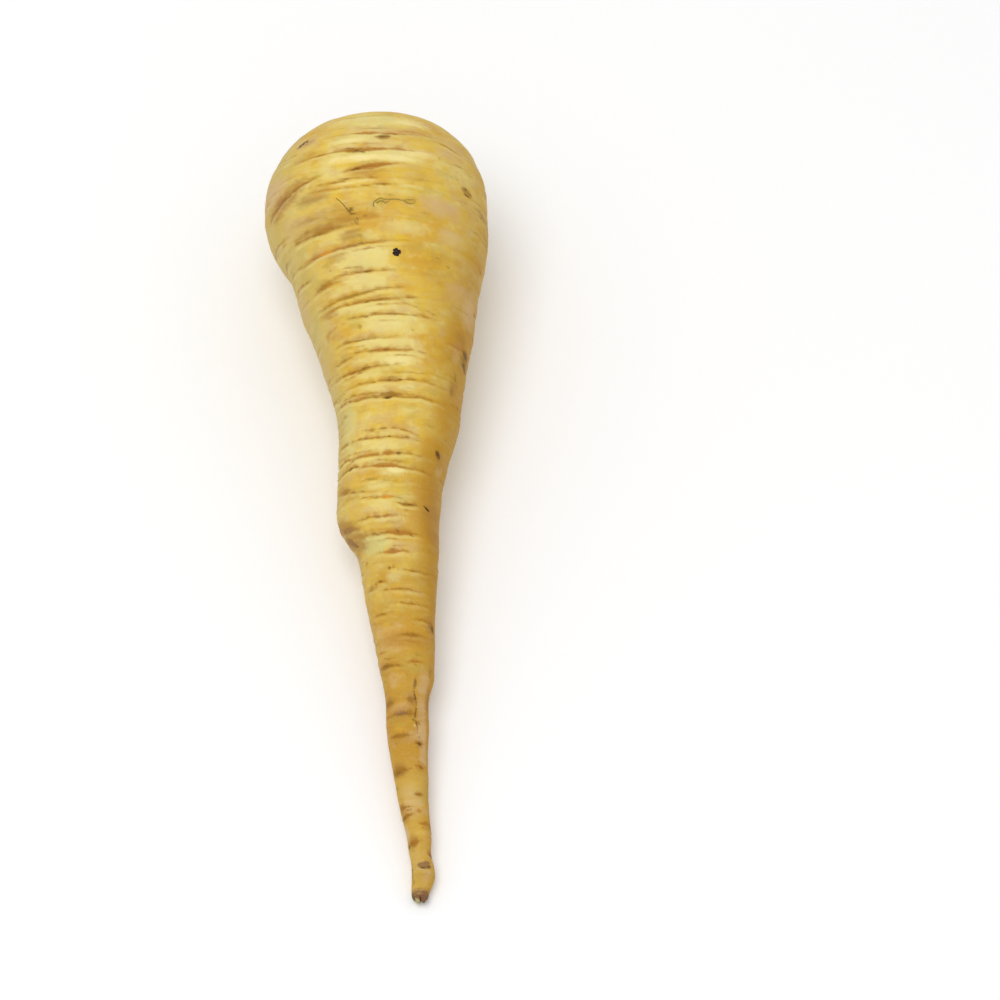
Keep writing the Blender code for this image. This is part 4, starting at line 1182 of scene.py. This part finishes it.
def buildStalks():
    chance = random.Random(stalks["seed"])
    rimMiddle = skin[firstBody].mean(axis=0)
    brown, pale = linear(stalks["brown"]), linear(stalks["pale"])
    material = mottledMaterial("driedLeafStalk", brown, pale, stalks["look"])
    acrossSteps, upSteps = stalks["steps"]
    alongScale, upScale = stalks["wobbleScale"]
    for index in range(stalks["count"]):
        distance = max(stalks["outer"] - stalks["inward"] * index, stalks["inner"])
        heading = stalks["turn"] * index
        top = chance.uniform(*stalks["underRim"])
        share = distance / lie["crownRim"]
        foot = lie["crownDepth"] * (1 - share * share) ** 2 + stalks["sink"]
        loops = []
        for level in range(upSteps + 1):
            loop = []
            for side, steps in ((1, range(acrossSteps + 1)), (-1, range(acrossSteps, -1, -1))):
                for k in steps:
                    along = 2 * k / acrossSteps - 1
                    half = stalks["thickness"] / 2 * (1 - stalks["thinEnds"] * along * along)
                    turn = math.radians(heading + stalks["halfSpan"] * along)
                    wobble = stalks["wobble"] * wave(along * alongScale, level * upScale, index * 5.0)
                    reach = distance + side * half + wobble - stalks["lean"] * (upSteps - level)
                    tear = stalks["ragged"] * wave(along * stalks["raggedScale"], side, index * 9.0)
                    height = foot + (top + abs(tear) - foot) * level / upSteps
                    spoke = math.cos(turn) * upward + math.sin(turn) * rightward
                    loop.append(rimMiddle + (spoke * reach + tailward * height) * mm)
            loops.append(loop)
        size = len(loops[0])
        points = [p for loop in loops for p in loop]
        ends = [tuple(range(size)), tuple(range(upSteps * size + size - 1, upSteps * size - 1, -1))]
        makePiece("leafStalk.%d" % index, points, ends + ringFaces(upSteps + 1, size), material)


buildStalks()
print("leaf stalks built")


# Fine side roots and the lines they left, dried flat on the washed skin. They are matte, and
# darker spots make them look unevenly dried.
hairs = {
    "sides": 6,
    "darker": 0.55,
    "look": {"grain": 0.9, "detail": 2.0, "roughness": 0.7},
    "pathSteps": 6,
    "sunk": 0.2,  # radii that a line's middle lies under the skin, and a thread's over it
    "thinning": 0.6,
    "dark": "#5e4a1c",
    "olive": "#94863e",
    "light": "#cbb27a",
    # radius, then the path as down and turn
    "threads": (
        (0.09, ((5.3, -20.5), (7.0, -17.9), (9.3, -15.6), (9.9, -14.2), (10.0, -12.6), (9.9, -11.8))),
        (0.06, ((9.6, -15.4), (8.8, -14.0), (8.3, -12.6))),
        (0.07, ((11.0, -12.4), (11.9, -12.0), (12.6, -12.5), (13.2, -12.4))),
    ),
    "lines": (
        (0.17, ((8.6, -1.8), (7.6, -1.6), (6.9, -0.4), (6.4, 1.0), (6.0, 2.6), (6.3, 4.5), (6.2, 8.0),
                (6.0, 11.5), (6.2, 13.5), (6.0, 16.0), (5.6, 20.0), (5.9, 21.0))),
        (0.16, ((7.6, 0.0), (7.0, 1.8), (6.9, 3.4), (7.5, 4.6), (7.0, 6.0), (6.4, 7.5))),
        (0.15, ((6.4, 14.5), (6.9, 17.0), (6.8, 19.5), (6.1, 21.0))),
    ),
    # thin edges of torn skin round the scar near the tip
    "cream": "#e8cfa2",
    "edges": (
        (0.10, ((196.9, -33), (197.2, -24), (197.35, -10), (197.5, 5), (197.7, 20), (198.2, 36),
                (198.1, 46))),
        (0.09, ((198.3, 24), (198.5, 34), (198.4, 44))),
        (0.10, ((193.4, 40), (193.9, 50), (194.6, 62), (195.6, 70))),
    ),
    "seed": 11,
}
strays = {  # short pale hairs that stand off the flanks
    "count": 20,
    "down": (-20, 200),
    "lowest": 202.0,
    "turn": (75, 135),
    "length": (1.2, 4.5),
    "radius": (0.05, 0.11),
    "bend": (-1.5, 1.5),
    "lift": (0.05, 0.35),
    "thinning": 0.7,
    "steps": 8,
    "leastRadius": 2.5,  # of the root, for the turn of a hair near the tip
}


def tube(path, radii, sides):  # a closed tube round a list of points
    points, faces = [], []
    count = len(path)
    for i in range(count):
        ahead = path[min(i + 1, count - 1)] - path[max(i - 1, 0)]
        ahead = ahead / np.linalg.norm(ahead)
        across = np.cross(ahead, np.array([0.31, 0.52, 0.79]))
        across = across / np.linalg.norm(across)
        other = np.cross(ahead, across)
        for side in range(sides):
            turn = 2 * math.pi * side / sides
            points.append(path[i] + (math.cos(turn) * across + math.sin(turn) * other) * radii[i] * mm)
    faces += [(a, d, c, b) for a, b, c, d in ringFaces(count, sides)]
    faces.append(tuple(range(sides - 1, -1, -1)))
    faces.append(tuple(range((count - 1) * sides, count * sides)))
    return points, faces


def smoothPath(corners, steps):  # a smooth curve through the corners
    corners = [np.array(c, float) for c in corners]
    ends = [2 * corners[0] - corners[1], *corners, 2 * corners[-1] - corners[-2]]
    path = []
    for i in range(1, len(ends) - 2):
        a, b, c, d = ends[i - 1 : i + 3]
        for k in range(steps):
            t = k / steps
            path.append(0.5 * (2 * b + (c - a) * t + (2 * a - 5 * b + 4 * c - d) * t * t
                               + (3 * b - a - 3 * c + d) * t ** 3))
    return path + [corners[-1]]


def hairMaterial(name, colour):
    dark = [c * hairs["darker"] for c in linear(colour)[:3]] + [1.0]
    return mottledMaterial(name, dark, linear(colour), hairs["look"])


def joined(parts):
    points, faces = [], []
    for morePoints, moreFaces in parts:
        offset = len(points)
        points += list(morePoints)
        faces += [tuple(index + offset for index in face) for face in moreFaces]
    return points, faces


def laidThreads(threads, over=1):  # over the skin, or sunk into it where that is -1
    parts = []
    for thick, corners in threads:
        places = smoothPath(corners, hairs["pathSteps"])
        path = [onSkin(at, turn, thick * hairs["sunk"] * over)[0] for at, turn in places]
        last = len(path) - 1
        taper = [thick * (1 - hairs["thinning"] * (k / last) ** 2) for k in range(last + 1)]
        parts.append(tube(path, taper, hairs["sides"]))
    return joined(parts)


def buildHairs():
    makePiece("rootHairs", *laidThreads(hairs["threads"]), hairMaterial("driedRootHair", hairs["dark"]))
    makePiece("skinEdges", *laidThreads(hairs["edges"]), hairMaterial("drySkinEdge", hairs["cream"]))
    makePiece("rootLines", *laidThreads(hairs["lines"], -1), hairMaterial("oldRootLine", hairs["olive"]))
    chance = random.Random(hairs["seed"])
    steps = strays["steps"]
    parts = []
    for _ in range(strays["count"]):
        at = chance.uniform(*strays["down"])
        turn = chance.uniform(*strays["turn"]) * chance.choice((-1, 1))
        length, thick = chance.uniform(*strays["length"]), chance.uniform(*strays["radius"])
        heading, bend = chance.uniform(0, 2 * math.pi), chance.uniform(*strays["bend"])
        size = np.interp(at, down.mean(axis=1)[firstBody:], radius.mean(axis=1)[firstBody:])
        size = max(size, strays["leastRadius"])
        path = []
        for k in range(steps + 1):
            share = k / steps
            way = heading + bend * share
            at += math.cos(way) * length / steps
            turn += math.degrees(math.sin(way) * length / steps / size)
            lift = strays["lift"][0] + strays["lift"][1] * share * share
            point = onSkin(min(at, strays["lowest"]), turn, lift)[0]
            path.append(np.clip(point, np.array(cadBox[0]) + thick * mm, np.array(cadBox[1]) - thick * mm))
        thins = [thick * (1 - strays["thinning"] * k / steps) for k in range(steps + 1)]
        parts.append(tube(path, thins, hairs["sides"]))
    makePiece("strayHairs", *joined(parts), hairMaterial("paleRootHair", hairs["light"]))


buildHairs()
print("root hairs laid")


# A crumb of soil stuck to the upper side: dry grit, nearly black and without any shine.
crumb = {
    "down": 20.9,
    "turn": 7.0,
    # offset down, offset across and radius of each grain
    "grains": ((0.0, 0.0, 0.75), (-0.75, -0.1, 0.5), (0.7, 0.25, 0.52), (0.35, -0.7, 0.48),
               (-0.3, 0.75, 0.5), (0.75, -0.35, 0.42), (-0.55, -0.65, 0.4), (0.2, 0.95, 0.34)),
    "flat": 0.5,
    "lumps": 0.22,
    "lumpScale": 2.2,  # lumps to a radius
    "steps": (8, 14),  # rings and sides of a grain
    "black": "#1d0f0a",
    "brown": "#4a2a18",
    "look": {"grain": 0.5, "detail": 3.0, "edges": (0.5, 0.75), "roughness": 0.9, "bump": (0.8, 0.2)},
}


def buildCrumb():
    middle, out = onSkin(crumb["down"], crumb["turn"])
    across = np.cross(out, tailward)
    across /= np.linalg.norm(across)
    along = np.cross(across, out)
    rings, sides = crumb["steps"]
    parts = []
    for index, (offDown, offAcross, size) in enumerate(crumb["grains"]):
        centre = middle + (along * offDown + across * offAcross) * mm
        points = []
        for i in range(1, rings):
            for k in range(sides):
                lift, turn = math.pi * i / rings, 2 * math.pi * k / sides
                way = (math.sin(lift) * (math.cos(turn) * along + math.sin(turn) * across)
                       + math.cos(lift) * out * crumb["flat"])
                lump = 1 + crumb["lumps"] * wave(*(way * crumb["lumpScale"] + (index * 3.1, 0, 0)))
                points.append(centre + way * size * lump * mm)
        faces = ringFaces(rings - 1, sides)
        faces.append(tuple(range(sides)))
        faces.append(tuple(range((rings - 1) * sides - 1, (rings - 2) * sides - 1, -1)))
        parts.append((points, faces))
    material = mottledMaterial("drySoil", linear(crumb["black"]), linear(crumb["brown"]), crumb["look"])
    makePiece("soilCrumb", *joined(parts), material)


buildCrumb()
print("soil crumb set")


# Shreds that stand out from the torn end of the tail, of the same dry matte kind as the hairs:
# brown where they are peel, grey-green where they are core, pale where they are single fibres.
tornEnd = {
    # kind, sideways, up, radius and length past the skin's end
    "shreds": (
        ("core", -0.75, 0.35, 0.55, 2.75), ("core", -0.25, -0.3, 0.4, 2.65), ("peel", 0.95, 0.5, 0.55, 2.75),
        ("peel", 1.55, 0.1, 0.45, 2.5), ("peel", 1.2, 1.3, 0.45, 1.7), ("peel", -1.75, 0.5, 0.35, 1.5),
        ("peel", 1.2, -1.1, 0.5, 1.6), ("peel", -1.2, -1.2, 0.4, 1.5), ("fibre", 2.0, 0.1, 0.09, 3.0),
        ("fibre", 1.7, 0.4, 0.07, 2.9),
    ),
    "sink": 1.8,
    "sway": 0.25,
    "swayUp": 0.3,  # share of the sway that also goes up
    "swayScale": 2.5,  # sways along a shred
    "inward": 0.12,
    "uneven": (0.9, 0.25),  # least share of the radius, and how much noise adds
    "unevenScale": 5,
    "blunt": 8,  # 2 rounds the whole shred, more rounds only its free end
    "closed": 0.96,
    "steps": 10,
    "sides": 12,
    "core": "#b8ae80",
    "peel": "#866448",
    "fibre": "#e4d8b4",
}


def buildTornEnd():
    middle = skin[lastBody].mean(axis=0)
    least, more = tornEnd["uneven"]
    groups = {}
    for index, (kind, side, up, size, length) in enumerate(tornEnd["shreds"]):
        path, radii = [], []
        for k in range(tornEnd["steps"] + 1):
            share = k / tornEnd["steps"]
            sway = tornEnd["sway"] * wave(share * tornEnd["swayScale"], index * 4.0, 0)
            at = -tornEnd["sink"] + (length + tornEnd["sink"]) * share
            inward = 1 - tornEnd["inward"] * share
            upSway = tornEnd["swayUp"] * sway
            offset = rightward * (side * inward + sway) + upward * (up * inward + upSway)
            path.append(middle + (offset + tailward * at) * mm)
            rounded = math.sqrt(1 - tornEnd["closed"] * share ** tornEnd["blunt"])
            radii.append(size * rounded * (least + more * wave(share * tornEnd["unevenScale"], 0, index)))
        points, faces = tube(path, radii, tornEnd["sides"])
        groups.setdefault(kind, []).append(([np.clip(p, *cadBox) for p in points], faces))
    for kind, shreds in groups.items():
        material = hairMaterial("dryTorn" + kind.capitalize(), tornEnd[kind])
        makePiece("tail" + kind.capitalize(), *joined(shreds), material)


buildTornEnd()
print("torn end built")


# A table top of pale matte laminate under a broad soft light. It takes soft shadows and has no shine.
studio = {
    "table": "#fbfbfb",
    "tableSize": 6.0,
    "tableDrop": 0.0002,  # keeps it clear of the root's own faces
    "darker": 0.985,
    "look": {"grain": 1.111, "detail": 2.0, "roughness": 0.9},  # grain in mm
    "sky": "#ffffff",
    "skyStrength": 0.72,
    # place, size in metres, power in watts and colour
    "lights": (((-0.22, -0.20, 1.30), 0.9, 7.2, "#ffffff"),),
    "lightAim": (0, 0, 0.02),
    "camera": {"target": (0.0365, 0.0, 0.02), "distance": 1.10, "height": 60.0, "lens": 138.0},
}


def buildStudio():
    pale = linear(studio["table"])
    darker = [c * studio["darker"] for c in pale[:3]] + [1.0]
    material = mottledMaterial("matteTableTop", darker, pale, studio["look"])
    half, below = studio["tableSize"] / 2, -studio["tableDrop"]
    corners = [(-half, -half, below), (half, -half, below), (half, half, below), (-half, half, below)]
    table = linked("tableTop", makeMesh("tableTop", corners, [(0, 1, 2, 3)], material))
    world = bpy.data.worlds.new("softRoom")
    bpy.context.scene.world = world
    world.use_nodes = True
    background = world.node_tree.nodes["Background"]
    background.inputs["Color"].default_value = linear(studio["sky"])
    background.inputs["Strength"].default_value = studio["skyStrength"]
    for index, (where, size, power, colour) in enumerate(studio["lights"]):
        light = bpy.data.lights.new("softBox.%d" % index, "AREA")
        light.shape, light.size, light.energy = "DISK", size, power
        light.color = linear(colour)[:3]
        lamp = linked("softBox.%d" % index, light)
        lamp.location = where
        aim = Vector(studio["lightAim"]) - Vector(where)
        lamp.rotation_euler = aim.to_track_quat("-Z", "Y").to_euler()
    eye = studio["camera"]
    height = math.radians(eye["height"])
    look = Vector((0, math.cos(height), -math.sin(height)))
    camera = bpy.data.cameras.new("camera")
    camera.lens, camera.sensor_width = eye["lens"], 36.0
    viewer = linked("camera", camera)
    viewer.location = Vector(eye["target"]) - look * eye["distance"]
    viewer.rotation_euler = (math.pi / 2 - height, 0, 0)
    bpy.context.scene.camera = viewer
    bpy.context.scene.view_settings.view_transform = "Standard"


buildStudio()
print("studio set")
